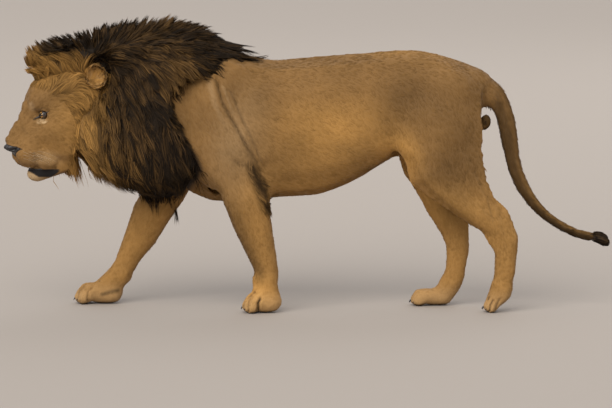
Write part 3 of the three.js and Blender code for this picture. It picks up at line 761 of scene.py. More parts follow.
# thin lines of colour, seen from the side (x, z): reach in mm, dark, pale, side; most are painted shade in
# the skin's creases and between the toes, or painted highlight on the ridges beside them, and the elbow's
# line is its own dark hair
sideMarksAndShade = [
    # painted shade in the creases behind the shoulder
    ([(-382, 975), (-352, 880), (-300, 785), (-255, 705), (-215, 640), (-196, 590)], 13, 0.50, 0, -1),
    ([(-322, 930), (-285, 845), (-243, 755), (-214, 690), (-192, 640)], 10, 0.38, 0, -1),
    # painted highlight on the ridges beside those creases
    ([(-352, 950), (-318, 860), (-275, 765), (-240, 700)], 10, 0, 0.16, -1),
    ([(-405, 960), (-385, 880), (-345, 790)], 22, 0, 0.14, -1),
    # painted shade in the grooves of the thigh and hock
    ([(742, 500), (790, 440), (806, 360)], 16, 0.14, 0, -1),
    ([(745, 480), (762, 420), (770, 380)], 7, 0.30, 0, -1),
    ([(806, 400), (816, 330), (820, 260)], 8, 0.12, 0, -1),
    ([(-250, 700), (-228, 650), (-200, 600)], 26, 0.30, 0, -1),            # into the elbow
    (elbowLine, 34, 0.90, 0, -1),
    # painted shade in the crease in front of the elbow
    ([(-300, 640), (-255, 620), (-220, 585)], 9, 0.32, 0, -1),
    ([(-196, 64), (-205, 45), (-204, 28), (-206, 6)], 7, 0.95, 0, -1),     # painted shade in the slits between the toes
    ([(-231, 74), (-243, 52), (-247, 30), (-246, 8)], 6, 0.50, 0, -1),
    ([(-262, 50), (-266, 28), (-264, 8)], 5, 0.40, 0, -1),
    ([(772, 54), (762, 35), (758, 10)], 6, 0.70, 0, -1),
    ([(800, 60), (790, 40), (784, 18)], 6, 0.45, 0, -1),
    ([(-948, 74), (-967, 58), (-972, 30)], 6, 0.45, 0, 1),
    ([(-869, 45), (-835, 55), (-804, 60)], 15, 0.60, 0, 1),
    ([(-748, 80), (-728, 98)], 10, 0.80, 0, 1),
    ([(-960, 5), (-900, 3), (-830, 3)], 8, 0.80, 0, 1),
    ([(480, 52), (467, 35), (463, 10)], 6, 0.60, 0, 1),
    ([(505, 56), (492, 38), (490, 12)], 6, 0.40, 0, 1),
    # painted shade in the crease on the thigh
    ([(660, 580), (690, 480), (760, 400)], 12, 0.15, 0, -1),
    ([(120, 700), (330, 640), (372, 632)], 30, 0.10, 0, -1),
]
# and on the face, in the head's own millimetres with y for the left: reach, dark, pale
faceLines = [
    ([(-262, 56, 822), (-274, 54, 816), (-286, 50, 809)], 8, 1.0, 0),      # tear line
    ([(-220, 84, 840), (-200, 90, 844), (-184, 94, 842)], 6, 0.75, 0),     # behind the eye
    ([(-272, 66, 850), (-246, 78, 856), (-222, 86, 848)], 6, 0.55, 0),     # upper lid
    ([(-276, 68, 796), (-250, 82, 797), (-226, 90, 806)], 7, 0, 0.85),     # below the eye
    ([(-282, 72, 774), (-246, 88, 776), (-214, 96, 788)], 6, 0.30, 0),
    ([(-296, 40, 872), (-276, 56, 884), (-250, 66, 886)], 11, 0, 0.60),    # over the eye
    ([(-345, 40, 682), (-306, 74, 684), (-262, 78, 690)], 3.5, 0.60, 0),   # whisker rows
    ([(-342, 42, 668), (-304, 76, 669), (-258, 80, 675)], 3.5, 0.60, 0),
    ([(-338, 42, 654), (-302, 76, 654), (-256, 80, 660)], 3.5, 0.60, 0),
    ([(-332, 42, 640), (-300, 72, 639), (-256, 78, 645)], 3.5, 0.50, 0),
    ([(-340, 14, 612), (-300, 44, 606), (-250, 62, 604), (-196, 68, 608)], 6, 0.55, 0),   # lip edge
    ([(-330, 34, 770), (-300, 52, 735), (-276, 66, 712)], 14, 0.22, 0),    # beside the bridge
    ([(-196, 96, 745), (-150, 108, 700), (-120, 104, 650)], 14, 0.16, 0),  # cheek
    ([(-110, 112, 880), (-80, 112, 930)], 12, 0.35, 0),                    # before the ear
]


coatTones = {   # how strong the marks that follow the body's form are; the one down the near foreleg's front and the ones in the toes' grooves are painted shade
    "legGold": 0.45,
    "pawPale": 0.22,
    "tailDark": 0.18,
    "tailFront": 0.44,
    "tailEnd": 0.28,
    "foreShade": 0.50,    # painted shade down the front of the near foreleg
    "soleDark": 0.9,
    # painted shade in the grooves between the toes
    "toeGrooveShade": 0.85,
}


def coatMarks(points, normals):
    # dark, gold and pale, each 0 to 1, at places in drawing millimetres; dark also carries painted shade in
    # creases, between the toes and down the near foreleg's front, and pale some painted highlight on ridges
    x, y, z = points.T
    legs = ramp(-z, -600, -330)
    gold = zoneSum(points, goldZones) + coatTones["legGold"] * legs
    pale = zoneSum(points, paleZones) + coatTones["pawPale"] * ramp(-z, -120, -20)
    dark = zoneSum(points, darkZones)
    tailGap, along = pathDistance(points, tailRun)
    onTail = ramp(x, 760, 800) * (1 - ramp(tailGap, 55, 75))
    front = ramp(-normals[:, 0] - 0.35 * normals[:, 2], -0.75, 0.05)
    tail = coatTones["tailDark"] + coatTones["tailFront"] * front
    tail += coatTones["tailEnd"] * ramp(along, 0.4, 0.7)
    dark = np.maximum(dark, onTail * tail)
    dark = np.maximum(dark, ramp(x, 1160, 1195))
    # painted shade down the front of the near foreleg, where its surface faces forward
    nearFore = ramp(x, -460, -420) * ramp(-x, 60, 90) * (y < 0)
    shinShade = legs * nearFore * ramp(-normals[:, 0], -0.25, 0.55) * ramp(z, 90, 200)
    dark = np.maximum(dark, coatTones["foreShade"] * shinShade)
    dark = np.maximum(dark, coatTones["soleDark"] * ramp(-z, -16, -4) * ramp(-normals[:, 2], 0.2, 0.7))
    # painted shade in the creases and toe slits and painted highlight on the ridges, with the elbow's own
    # dark hair
    for path, reach, darker, paler, side in sideMarksAndShade:
        near = ease(1 - sideDistance(points, path) / reach) * (y * side > 60)
        dark, pale = np.maximum(dark, near * darker), np.maximum(pale, near * paler)
    own = toHead(points)
    own[:, 1] = np.abs(own[:, 1])
    for path, reach, darker, paler in faceLines:
        gap, _ = pathDistance(own, path)
        near = ease(1 - gap / reach)
        dark, pale = np.maximum(dark, near * darker), np.maximum(pale * (1 - near * darker), near * paler)
    # painted shade in the grooves between the toes
    low = z < 130
    for foot in feet:
        for across in toePlan["between"]:
            gap, _ = pathDistance(points[low], toeGroove(foot, across))
            dark[low] = np.maximum(dark[low], coatTones["toeGrooveShade"] * ease(1 - gap / 9))
    return np.clip(dark, 0, 1), np.clip(gold, 0, 1), np.clip(pale, 0, 1)


maneTones = [  # how dark the mane is: place seen from the side (x, z), dark, gold
    (-1150, 1010, 0.22, 1.0), (-1080, 990, 0.28, 0.95), (-1130, 1075, 0.45, 0.8), (-1090, 1120, 0.97, 0.1),
    (-1010, 1040, 0.30, 0.85), (-960, 1010, 0.40, 0.8), (-1000, 1110, 0.97, 0.1), (-900, 1140, 0.98, 0.05),
    (-830, 1050, 0.96, 0.1), (-980, 900, 0.25, 0.8), (-940, 760, 0.15, 0.95), (-960, 640, 0.20, 0.9),
    (-1000, 600, 0.10, 0.95), (-1010, 700, 0.05, 1.0), (-880, 850, 0.50, 0.7), (-860, 640, 0.55, 0.65),
    (-840, 500, 0.86, 0.3), (-760, 980, 0.96, 0.15), (-780, 820, 0.93, 0.4), (-760, 640, 0.90, 0.6),
    (-740, 480, 0.97, 0.15), (-650, 1130, 0.84, 0.25), (-640, 1000, 0.84, 0.35), (-620, 860, 1.0, 0.25),
    (-600, 700, 1.0, 0.05), (-600, 500, 1.0, 0.0), (-520, 1040, 0.72, 0.4), (-500, 900, 0.70, 0.4),
    (-450, 1120, 0.93, 0.15), (-400, 1010, 0.92, 0.15), (-330, 1080, 1.0, 0.0), (-400, 1130, 1.0, 0.0),
    (-260, 1050, 1.0, 0.0), (-470, 700, 0.96, 0.1), (-420, 560, 1.0, 0.05),
]


def maneMarks(points):
    places = np.array([(t[0], t[1]) for t in maneTones], dtype=float)
    gap = np.linalg.norm(points[:, None, [0, 2]] - places[None], axis=2)
    weight = 1 / (gap ** 4 + 400000)
    weight /= weight.sum(axis=1, keepdims=True)
    dark = weight @ np.array([t[2] for t in maneTones])
    gold = weight @ np.array([t[3] for t in maneTones])
    return dark, gold


def paint(piece, name, values):
    layer = piece.data.attributes.new(name, "FLOAT_COLOR", "POINT")
    flat = np.ones((len(values[0]), 4), dtype=np.float32)
    for i, value in enumerate(values):
        flat[:, i] = value
    layer.data.foreach_set("color", flat.ravel())


def underMane(points):
    # 0 on the open coat, 1 where the mane's mass covers the skin
    return ramp(-signedHeights(coverTree, points) / mm, 15, 26) * maneStands(toDrawing(points))


lipLine = ((-310, -295, -265, -210, -185), (592, 586, 566, 564, 588))   # x and z of the lower lip's edge


def markSkin():
    drawing = toDrawing(pointsOf(skin))
    dark, gold, pale = coatMarks(drawing, normalsOf(skin))
    dark += (maneMarks(drawing)[0] - dark) * underMane(pointsOf(skin))
    own = toHead(drawing)
    low = np.interp(own[:, 0], *lipLine)
    lips = ramp(-own[:, 2], -603, -597) * ramp(own[:, 2], low - 3, low + 3) * ramp(-own[:, 0], 176, 190)
    paint(skin, "marks", (dark, gold, pale))
    nose = ramp(leatherEdge(own), -3, 0)
    paint(skin, "bare", (np.clip(np.maximum(lips, nose), 0, 1),))


thinning = {"covered": 0.98, "share": 0.92}


def thinHidden():
    # fewer faces where the mane hides the skin for good
    covered = underMane(pointsOf(skin)) > thinning["covered"]
    hidden = skin.vertex_groups.new(name="hidden")
    hidden.add(np.nonzero(covered)[0].tolist(), 1.0, "REPLACE")
    thin = skin.modifiers.new("thin", "DECIMATE")
    thin.vertex_group = "hidden"
    thin.ratio = 1 - thinning["share"] * covered.mean()
    applyAll(skin)
    skin.vertex_groups.clear()
    skin.data.shade_smooth()


thinHidden()
markSkin()
report("skin thinned, %d triangles" % sum(len(face.vertices) - 2 for face in skin.data.polygons))
# the mass under the hair is painted darker and less gold than the hair over it, as painted shade deep in the
# mane
dark, gold = maneMarks(toDrawing(pointsOf(maneMass)))
paint(maneMass, "marks", (np.clip(dark * 1.2 + 0.15, 0, 1), gold * 0.6, dark * 0))
report("markings")

coatColours = {
    "tawny": (0.180, 0.095, 0.031),
    "gold": (0.410, 0.212, 0.056),
    "pale": (0.560, 0.400, 0.225),
    "dark": (0.013, 0.0082, 0.0045),
    "leather": (0.012, 0.010, 0.010),
}


def colour4(name):
    return coatColours[name] + (1,)


def addNode(nodes, kind, values=None):
    # a node with values on its own sockets
    node = nodes.new(kind)
    for label, value in (values or {}).items():
        node.inputs[label].default_value = value
    return node


def addMath(nodes, links, kind, *terms):
    node = nodes.new("ShaderNodeMath")
    node.operation = kind
    for port, term in zip(node.inputs, terms):
        if isinstance(term, (int, float)):
            port.default_value = term
        else:
            links.new(term, port)
    return node.outputs["Value"]


def addMix(nodes, links, kind, factor, a, b):
    node = nodes.new("ShaderNodeMix")
    node.data_type = "RGBA"
    node.blend_type = kind
    for port, value in ((0, factor), (6, a), (7, b)):
        if isinstance(value, (int, float, tuple)):
            node.inputs[port].default_value = value
        else:
            links.new(value, node.inputs[port])
    return node.outputs[2]


def addNoise(nodes, links, kind, values):
    # a pattern over the piece's own place
    place = nodes.new("ShaderNodeTexCoord")
    pattern = addNode(nodes, kind, values)
    links.new(place.outputs["Object"], pattern.inputs["Vector"])
    return pattern


def addBump(nodes, links, height, shader, values):
    bump = addNode(nodes, "ShaderNodeBump", values)
    links.new(height, bump.inputs["Height"])
    links.new(bump.outputs["Normal"], shader.inputs["Normal"])
    return bump


coatInputs = {"Along": 1.0, "Chance": 0.5, "Mottling": 0.6, "Root Shade": 0.0, "Luck": 0.35}


def makeCoatGroup():
    # the coat's colour from its three marks, with mottling and a change from root to tip
    group = bpy.data.node_groups.new("coat_colour", "ShaderNodeTree")
    ports = group.interface
    ports.new_socket("Marks", in_out="INPUT", socket_type="NodeSocketColor")
    for label, value in coatInputs.items():
        port = ports.new_socket(label, in_out="INPUT", socket_type="NodeSocketFloat")
        port.default_value = value
    ports.new_socket("Color", in_out="OUTPUT", socket_type="NodeSocketColor")
    nodes, links = group.nodes, group.links
    entry, leave = nodes.new("NodeGroupInput"), nodes.new("NodeGroupOutput")
    split = nodes.new("ShaderNodeSeparateColor")
    links.new(entry.outputs["Marks"], split.inputs["Color"])
    patches = addNoise(nodes, links, "ShaderNodeTexNoise", {"Scale": 7, "Detail": 5})
    base = colour4("tawny")
    for port, tint in (("Green", "gold"), ("Blue", "pale"), ("Red", "dark")):
        base = addMix(nodes, links, "MIX", split.outputs[port], base, colour4(tint))
    swing = addMath(nodes, links, "SUBTRACT", patches.outputs["Fac"], 0.5)
    swing = addMath(nodes, links, "MULTIPLY", swing, entry.outputs["Mottling"])
    luck = addMath(nodes, links, "SUBTRACT", entry.outputs["Chance"], 0.5)
    luck = addMath(nodes, links, "MULTIPLY", luck, entry.outputs["Luck"])
    level = addMath(nodes, links, "ADD", addMath(nodes, links, "ADD", swing, luck), 1.0)
    below = addMath(nodes, links, "SUBTRACT", 1.0, entry.outputs["Along"])
    below = addMath(nodes, links, "MULTIPLY", below, entry.outputs["Root Shade"])
    level = addMath(nodes, links, "MULTIPLY", level, addMath(nodes, links, "SUBTRACT", 1.0, below))
    shade = nodes.new("ShaderNodeCombineColor")
    for port in ("Red", "Green", "Blue"):
        links.new(level, shade.inputs[port])
    links.new(addMix(nodes, links, "MULTIPLY", 1.0, base, shade.outputs["Color"]), leave.inputs["Color"])
    return group


coatGroup = makeCoatGroup()


def newMaterial(name, values):
    made = bpy.data.materials.new(name)
    made.use_nodes = True
    shader = made.node_tree.nodes["Principled BSDF"]
    for label, value in values.items():
        shader.inputs[label].default_value = value
    return made, made.node_tree.nodes, made.node_tree.links, shader


def addCoat(nodes, links):
    # the coat's colour on a material, from the piece's own marks
    coat = nodes.new("ShaderNodeGroup")
    coat.node_tree = coatGroup
    for label, value in coatInputs.items():
        coat.inputs[label].default_value = value
    links.new(attribute(nodes, "marks"), coat.inputs["Marks"])
    return coat


def attribute(nodes, name):
    node = nodes.new("ShaderNodeAttribute")
    node.attribute_name = name
    return node.outputs["Color"]


def makeSkinFinish():
    made, nodes, links, shader = newMaterial("short_coat_finish", {"Roughness": 0.8, "Sheen Weight": 0.05,
                                                                   "Specular IOR Level": 0.16})
    coat = addCoat(nodes, links)
    grain = addNoise(nodes, links, "ShaderNodeTexNoise", {"Scale": 190, "Detail": 3})
    links.new(grain.outputs["Fac"], coat.inputs["Chance"])
    bareness = nodes.new("ShaderNodeSeparateColor")
    links.new(attribute(nodes, "bare"), bareness.inputs["Color"])
    colour = addMix(nodes, links, "MIX", bareness.outputs["Red"], coat.outputs["Color"], colour4("leather"))
    links.new(colour, shader.inputs["Base Color"])
    addBump(nodes, links, grain.outputs["Fac"], shader, {"Strength": 0.35, "Distance": 0.003})
    return made


def makeHairFinish(name, roughness, rootShade, luck):
    made, nodes, links, shader = newMaterial(name, {"Roughness": roughness, "Specular IOR Level": 0.07})
    coat = addCoat(nodes, links)
    coat.inputs["Root Shade"].default_value = rootShade
    coat.inputs["Luck"].default_value = luck
    strand = nodes.new("ShaderNodeSeparateColor")
    links.new(attribute(nodes, "strand"), strand.inputs["Color"])
    links.new(strand.outputs["Red"], coat.inputs["Along"])
    links.new(strand.outputs["Green"], coat.inputs["Chance"])
    links.new(coat.outputs["Color"], shader.inputs["Base Color"])
    return made


skinFinish = makeSkinFinish()
hairFinish = makeHairFinish("hair_finish", 0.62, 0.45, 0.7)
furFinish = makeHairFinish("fur_finish", 0.8, 0.05, 0.35)


def finishPiece(piece, material, slot, *nodes):
    piece.data.materials.clear()
    piece.data.materials.append(material)
    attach(piece, "root")
    if nodes:
        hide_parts(*nodes)


ownPieces = ("eye", "nose", "lip", "ear", "mane", "tail_tuft", "elbow", "scrotum")
fleshNodes = [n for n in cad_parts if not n.startswith(ownPieces)]
finishPiece(skin, skinFinish, "coat", *fleshNodes)
finishPiece(maneMass, skinFinish, "mane", "mane_crest", "mane_left", "mane_right", "mane_forelock")

# guide hairs, as a groomer would comb them: place (x, y, z) mm and the way the hair runs;
# y is the left side's, and the right side mirrors it
maneGuides = [
    ((-1150, 40, 1080), (-0.35, 0.10, 0.95)), ((-1165, 50, 1010), (-0.42, 0.25, 0.85)),
    ((-1090, 90, 1010), (-0.35, 0.60, 0.40)), ((-1080, 30, 1120), (-0.50, 0.10, 0.90)),
    ((-1000, 20, 1140), (-0.40, 0.10, 0.90)), ((-880, 20, 1160), (-0.20, 0.12, 1.00)),
    ((-740, 20, 1190), (0.00, 0.15, 1.00)), ((-600, 20, 1210), (0.25, 0.15, 0.95)),
    ((-470, 20, 1195), (0.60, 0.10, 0.75)), ((-340, 20, 1140), (0.95, 0.10, 0.35)),
    ((-240, 20, 1070), (1.00, 0.05, 0.10)), ((-1000, 120, 1080), (-0.10, 0.60, 0.40)),
    ((-880, 150, 1080), (0.30, 0.50, 0.10)), ((-740, 170, 1090), (0.50, 0.30, -0.10)),
    ((-580, 170, 1100), (0.75, 0.20, -0.20)), ((-420, 150, 1060), (0.90, 0.10, -0.20)),
    ((-300, 110, 1040), (0.97, 0.05, -0.25)), ((-960, 120, 900), (0.10, 0.15, -1.00)),
    ((-820, 170, 930), (0.40, 0.15, -0.80)), ((-680, 200, 940), (0.60, 0.10, -0.65)),
    ((-520, 200, 930), (0.45, 0.05, -0.85)), ((-400, 190, 960), (0.75, 0.05, -0.60)),
    ((-980, 120, 740), (0.06, 0.05, -1.00)), ((-860, 160, 740), (0.22, 0.05, -1.00)),
    ((-700, 190, 740), (0.32, 0.00, -0.95)), ((-560, 200, 740), (0.25, 0.00, -0.95)),
    ((-440, 190, 720), (0.25, 0.00, -0.96)), ((-880, 110, 560), (0.10, -0.05, -1.00)),
    ((-740, 130, 500), (0.12, -0.05, -1.00)), ((-600, 120, 460), (0.20, -0.05, -1.00)),
    ((-430, 120, 520), (0.30, 0.00, -0.94)),
]


def combed(points, pairs, singles=()):
    # the guide hairs' way at each place, the nearer ones counting most
    count = len(points)
    total, weights = np.zeros((count, 3)), np.zeros(count)
    every = [(p, w, s) for p, w in pairs for s in sides] + [(p, w, 1) for p, w in singles]
    for place, way, side in every:
        gap = np.linalg.norm(points - np.array((place[0], place[1] * side, place[2])), axis=1)
        weight = 1 / (gap ** 3 + 8000)
        total += weight[:, None] * np.array((way[0], way[1] * side, way[2]))
        weights += weight
    return unit(total / weights[:, None])


def rootsOn(piece, count, density, dice):
    # seeded roots over a surface, thicker where density is higher
    mesh = piece.data
    mesh.calc_loop_triangles()
    corners = np.empty(len(mesh.loop_triangles) * 3, dtype=np.int32)
    mesh.loop_triangles.foreach_get("vertices", corners)
    corners = corners.reshape(-1, 3)
    points, normals = pointsOf(piece), normalsOf(piece)
    a, b, c = (points[corners[:, k]] for k in range(3))
    area = np.linalg.norm(np.cross(b - a, c - a), axis=1) / 2
    middle = toDrawing((a + b + c) / 3)
    weight = area * density(middle, unit(normals[corners].mean(axis=1)))
    total = np.cumsum(weight)
    spots = (np.arange(count) + dice.random(count)) / count * total[-1]
    index = np.minimum(np.searchsorted(total, spots), len(corners) - 1)
    u, v = dice.random(count), dice.random(count)
    over = u + v > 1
    u, v = np.where(over, 1 - u, u), np.where(over, 1 - v, v)
    shares = np.stack([1 - u - v, u, v], axis=1)[:, :, None]
    return (points[corners[index]] * shares).sum(axis=1), unit((normals[corners[index]] * shares).sum(axis=1))


def nearSurface(tree, points):
    near, normals = np.empty_like(points), np.empty_like(points)
    for i, point in enumerate(points):
        place, normal, _, _ = tree.find_nearest(point)
        near[i], normals[i] = place, normal
    return near, normals


def turnedAbout(vectors, axes, angles):
    # each vector turned about its own axis
    cos, sin = np.cos(angles)[:, None], np.sin(angles)[:, None]
    across = (vectors * axes).sum(axis=1, keepdims=True)
    return vectors * cos + np.cross(axes, vectors) * sin + axes * across * (1 - cos)


tuftSpread = {   # how much a clump's length and lift vary, and a tuft's own
    "clumpLength": 0.12,
    "ownLength": 0.10,
    "clumpLift": 0.45,
    "ownLift": 0.15,
    "shortest": 0.004,    # metres
}


def growTufts(tree, roots, normals, comb, plan, dice):
    # marches each tuft along the comb's way, over the surface and then free of it
    count = len(roots)
    rings = plan["rings"]
    clumps = max(1, count // plan["perClump"])
    leaders = dice.choice(count, clumps, replace=False)
    finder = KDTree(clumps)
    for i, leader in enumerate(leaders):
        finder.insert(roots[leader], i)
    finder.balance()
    clump = np.array([finder.find(root)[1] for root in roots])
    leader = leaders[clump]
    clumpTurn = dice.normal(0, plan["clumpTurn"], clumps)[clump]
    ownTurn = dice.normal(0, plan["ownTurn"], count)
    length = plan["length"](toDrawing(roots), normals) * mm
    length *= 1 + dice.normal(0, tuftSpread["clumpLength"], clumps)[clump]
    length *= 1 + dice.normal(0, tuftSpread["ownLength"], count)
    length = np.maximum(length, tuftSpread["shortest"])
    lift = 1 + dice.normal(0, tuftSpread["clumpLift"], clumps)[clump]
    lift += dice.normal(0, tuftSpread["ownLift"], count)
    lift = plan["lift"] * mm * np.clip(lift, 0.1, 3)
    phase = dice.random(clumps)[clump] * 2 * math.pi
    path = np.empty((rings + 1, count, 3))
    path[0] = roots - normals * plan["sink"] * mm
    stand = plan["stand"](toDrawing(roots), normals)
    here = roots
    surface = normals
    for k in range(1, rings + 1):
        way = comb(toDrawing(here))
        flat = unit(way - (way * surface).sum(axis=1, keepdims=True) * surface)
        free = stand[:, None]
        way = unit(flat * (1 - free) + way * free + surface * 0.25 * free)
        way = turnedAbout(way, surface, clumpTurn + ownTurn + plan["wave"] * np.sin(phase + k * 1.9))
        way = unit(way + np.array([0, 0, -1]) * plan["droop"] * (k / rings))
        target = here + way * (length / rings)[:, None]
        near, surface = nearSurface(tree, target)
        height = ((target - near) * surface).sum(axis=1)
        wanted = lift * (k / rings) ** 0.8
        cling = plan["cling"] * (1 - stand)
        settled = np.where(height < wanted, wanted, height + (wanted - height) * cling)
        here = target + surface * (settled - height)[:, None]
        path[k] = here
    drawIn(path, length)
    for k in range(1, rings + 1):
        gather = plan["clumping"] * (k / rings) ** 1.4
        path[k] += (path[k][leader] - path[k]) * gather
    drawIn(path, length)
    return path, clump, clumps


def drawIn(path, length):
    # a tuft that jumped to another fold of the surface or turned back shrinks into its root
    legs = np.diff(path, axis=0)
    size = np.linalg.norm(legs, axis=2)
    turns = (legs[1:] * legs[:-1]).sum(axis=2) / np.maximum(size[1:] * size[:-1], 1e-12)
    wild = (size.max(axis=0) > length / len(legs) * 1.9 + 0.006) | (turns[1:] < 0.6).any(axis=0)
    path[1:, wild] = path[0, wild] + (path[1:, wild] - path[0, wild]) * 0.1


def someWidths(dice, width, count, spread=0.2, most=1.6):
    return width * mm * np.clip(dice.normal(1, spread, count), 0.5, most)


def tuftMesh(name, path, normals, width, plan, marks, chance, atlas):
    # every tuft a three-sided blade from its root ring to one tip
    rings, count = path.shape[0] - 1, path.shape[1]
    perTuft = rings * 3 + 1
    outline = np.interp(np.arange(rings) / rings, plan["outlineAt"], plan["outline"])
    points = np.empty((count, perTuft, 3))
    facing = np.empty_like(points)
    for k in range(rings):
        run = unit(path[k + 1] - path[max(k - 1, 0)])
        across = unit(np.cross(run, normals))
        up = np.cross(across, run)
        for i, way in enumerate((-across, up, across)):
            facing[:, k * 3 + i] = way
        facing[:, rings * 3] = up
        half = (width * outline[k] / 2)[:, None]
        points[:, k * 3] = path[k] - across * half
        points[:, k * 3 + 1] = path[k] + up * half * plan["thick"]
        points[:, k * 3 + 2] = path[k] + across * half
    points[:, rings * 3] = path[rings]
    quads = [(k * 3 + i, k * 3 + (i + 1) % 3, k * 3 + 3 + (i + 1) % 3, k * 3 + 3 + i)
             for k in range(rings - 1) for i in range(3)]
    last = (rings - 1) * 3
    tips = [(last + i, last + (i + 1) % 3, rings * 3) for i in range(3)] + [(2, 1, 0)]
    loops = np.concatenate([np.array(quads).ravel(), np.array(tips).ravel()])
    starts = np.concatenate([np.arange(len(quads)) * 4, len(quads) * 4 + np.arange(len(tips)) * 3])
    allLoops = (loops[None] + np.arange(count)[:, None] * perTuft).ravel()
    allStarts = (starts[None] + np.arange(count)[:, None] * len(loops)).ravel()
    mesh = bpy.data.meshes.new(name)
    mesh.vertices.add(count * perTuft)
    mesh.loops.add(len(allLoops))
    mesh.polygons.add(len(allStarts))
    mesh.vertices.foreach_set("co", points.ravel())
    mesh.loops.foreach_set("vertex_index", allLoops.astype(np.int32))
    mesh.polygons.foreach_set("loop_start", allStarts.astype(np.int32))
    mesh.polygons.foreach_set("use_smooth", np.ones(len(allStarts), dtype=bool))
    mesh.update(calc_edges=True)
    # lit partly as the surface below, so that the tufts read as one coat; the undersides keep
    # their own facing, or they would turn black wherever they show
    soft = plan["blend"]
    lit = unit(facing * (1 - soft) + normals[:, None] * soft)
    ringTop = np.minimum(np.arange(perTuft) // 3, rings - 1) * 3 + 1
    below = np.concatenate([np.arange(len(quads)).repeat(4) % 3 == 2,
                            np.arange(len(tips)).repeat(3) >= 2])
    corners = np.where(below[None, :, None], -facing[:, ringTop][:, loops], lit[:, loops])
    mesh.normals_split_custom_set(corners.reshape(-1, 3).tolist())
    along = np.append(np.repeat(np.arange(rings) / rings, 3), 1.0)
    sideways = np.append(np.tile([0.0, 0.5, 1.0], rings), 0.5)
    piece = bpy.data.objects.new(name, mesh)
    bpy.context.scene.collection.objects.link(piece)
    paint(piece, "marks", [np.repeat(m, perTuft) for m in marks])
    paint(piece, "strand", (np.tile(along, count), np.repeat(chance, perTuft)))
    bake = mesh.uv_layers.new(name="OFBake")
    spread = np.stack([sideways, along], axis=1) * 0.003
    corners = (atlas[:, None] + spread[loops][None]).reshape(-1, 2)
    bake.data.foreach_set("uv", corners.astype(np.float32).ravel())
    return piece


unwrapPlan = {"angle": 66, "margin": 0.004}


def makeAtlas(piece, keep):
    # a light copy of a surface, unwrapped on its own shape, to read a root's place from
    light = piece.copy()
    light.data = piece.data.copy()
    bpy.context.scene.collection.objects.link(light)
    thin = light.modifiers.new("thin", "DECIMATE")
    thin.ratio = keep
    applyAll(light)
    bpy.ops.object.mode_set(mode="EDIT")
    bpy.ops.mesh.select_all(action="SELECT")
    bpy.ops.uv.smart_project(angle_limit=math.radians(unwrapPlan["angle"]),
                             island_margin=unwrapPlan["margin"])
    bpy.ops.object.mode_set(mode="OBJECT")
    mesh = light.data
    mesh.calc_loop_triangles()
    triangles = np.empty(len(mesh.loop_triangles) * 3, dtype=np.int32)
    loops = np.empty(len(mesh.loop_triangles) * 3, dtype=np.int32)
    mesh.loop_triangles.foreach_get("vertices", triangles)
    mesh.loop_triangles.foreach_get("loops", loops)
    flat = np.empty(len(mesh.loops) * 2, dtype=np.float32)
    mesh.uv_layers.active.data.foreach_get("uv", flat)
    points = pointsOf(light)
    corners = points[triangles.reshape(-1, 3)]
    places = flat.reshape(-1, 2)[loops].reshape(-1, 3, 2)
    tree = BVHTree.FromPolygons([tuple(p) for p in points], triangles.reshape(-1, 3).tolist())
    bpy.data.objects.remove(light, do_unlink=True)
    return tree, corners, places


def atlasPlaces(atlas, roots):
    # each root's place on the unwrap
    tree, corners, places = atlas
    found, index = np.empty_like(roots), np.empty(len(roots), dtype=int)
    for i, root in enumerate(roots):
        place, _, face, _ = tree.find_nearest(root)
        found[i], index[i] = place, face
    a, b, c = (corners[index, k] for k in range(3))
    e1, e2, gap = b - a, c - a, found - a
    d11, d12, d22 = (e1 * e1).sum(1), (e1 * e2).sum(1), (e2 * e2).sum(1)
    g1, g2 = (gap * e1).sum(1), (gap * e2).sum(1)
    under = np.maximum(d11 * d22 - d12 * d12, 1e-18)
    v = (d22 * g1 - d12 * g2) / under
    w = (d11 * g2 - d12 * g1) / under
    shares = np.clip(np.stack([1 - v - w, v, w], axis=1), 0, 1)[:, :, None]
    return np.clip((places[index] * shares).sum(axis=1), 0, 0.996)


def combMane(points):
    return combed(points, maneGuides)


maneAtlas = makeAtlas(maneMass, 0.4)
report("mane unwrap")

maneCut = {   # mm of hair
    "crown": 95,
    "chest": 70,        # more on the throat and the chest
    "withers": 30,      # less towards the withers
    "forelock": 35,     # less on the forelock
    "lock": 75,         # more in the lock that reaches back over the withers
    "overLeg": 0.68,    # share cut away over the far leg's top
}


def maneLength(points):
    x, z = points[:, 0], points[:, 2]
    long = maneCut["crown"] + maneCut["chest"] * ramp(-z, -1000, -700)
    long -= maneCut["withers"] * ramp(x, -480, -300) + maneCut["forelock"] * ramp(-x, 1020, 1120)
    overLeg = ramp(-x, 555, 590) * ramp(x, -800, -740) * ramp(-z, -560, -480)
    edge = 1 - (1 - np.clip((maneAhead(points) + 20) / 110, 0.35, 1)) * ramp(z, 640, 720)
    lock = maneCut["lock"] * ramp(x, -440, -330) * ramp(z, 950, 1010)
    return long * edge * (1 - maneCut["overLeg"] * overLeg) + lock


def maneStand(points, normals):
    # how freely the hair leaves the surface: on the crest, the rear lock, the throat and the forelock
    x, z = points[:, 0], points[:, 2]
    stand = ramp(normals[:, 2], 0.35, 0.95) * 0.75 * ramp(-x, 300, 480)
    stand += 0.6 * ramp(x, -430, -350) * ramp(z, 960, 1020)
    stand += 0.6 * ramp(-x, 850, 910) * ramp(-z, -790, -710)
    stand += 0.7 * ramp(-x, 1035, 1110) * ramp(z, 930, 980)
    return np.clip(stand, 0, 0.9)


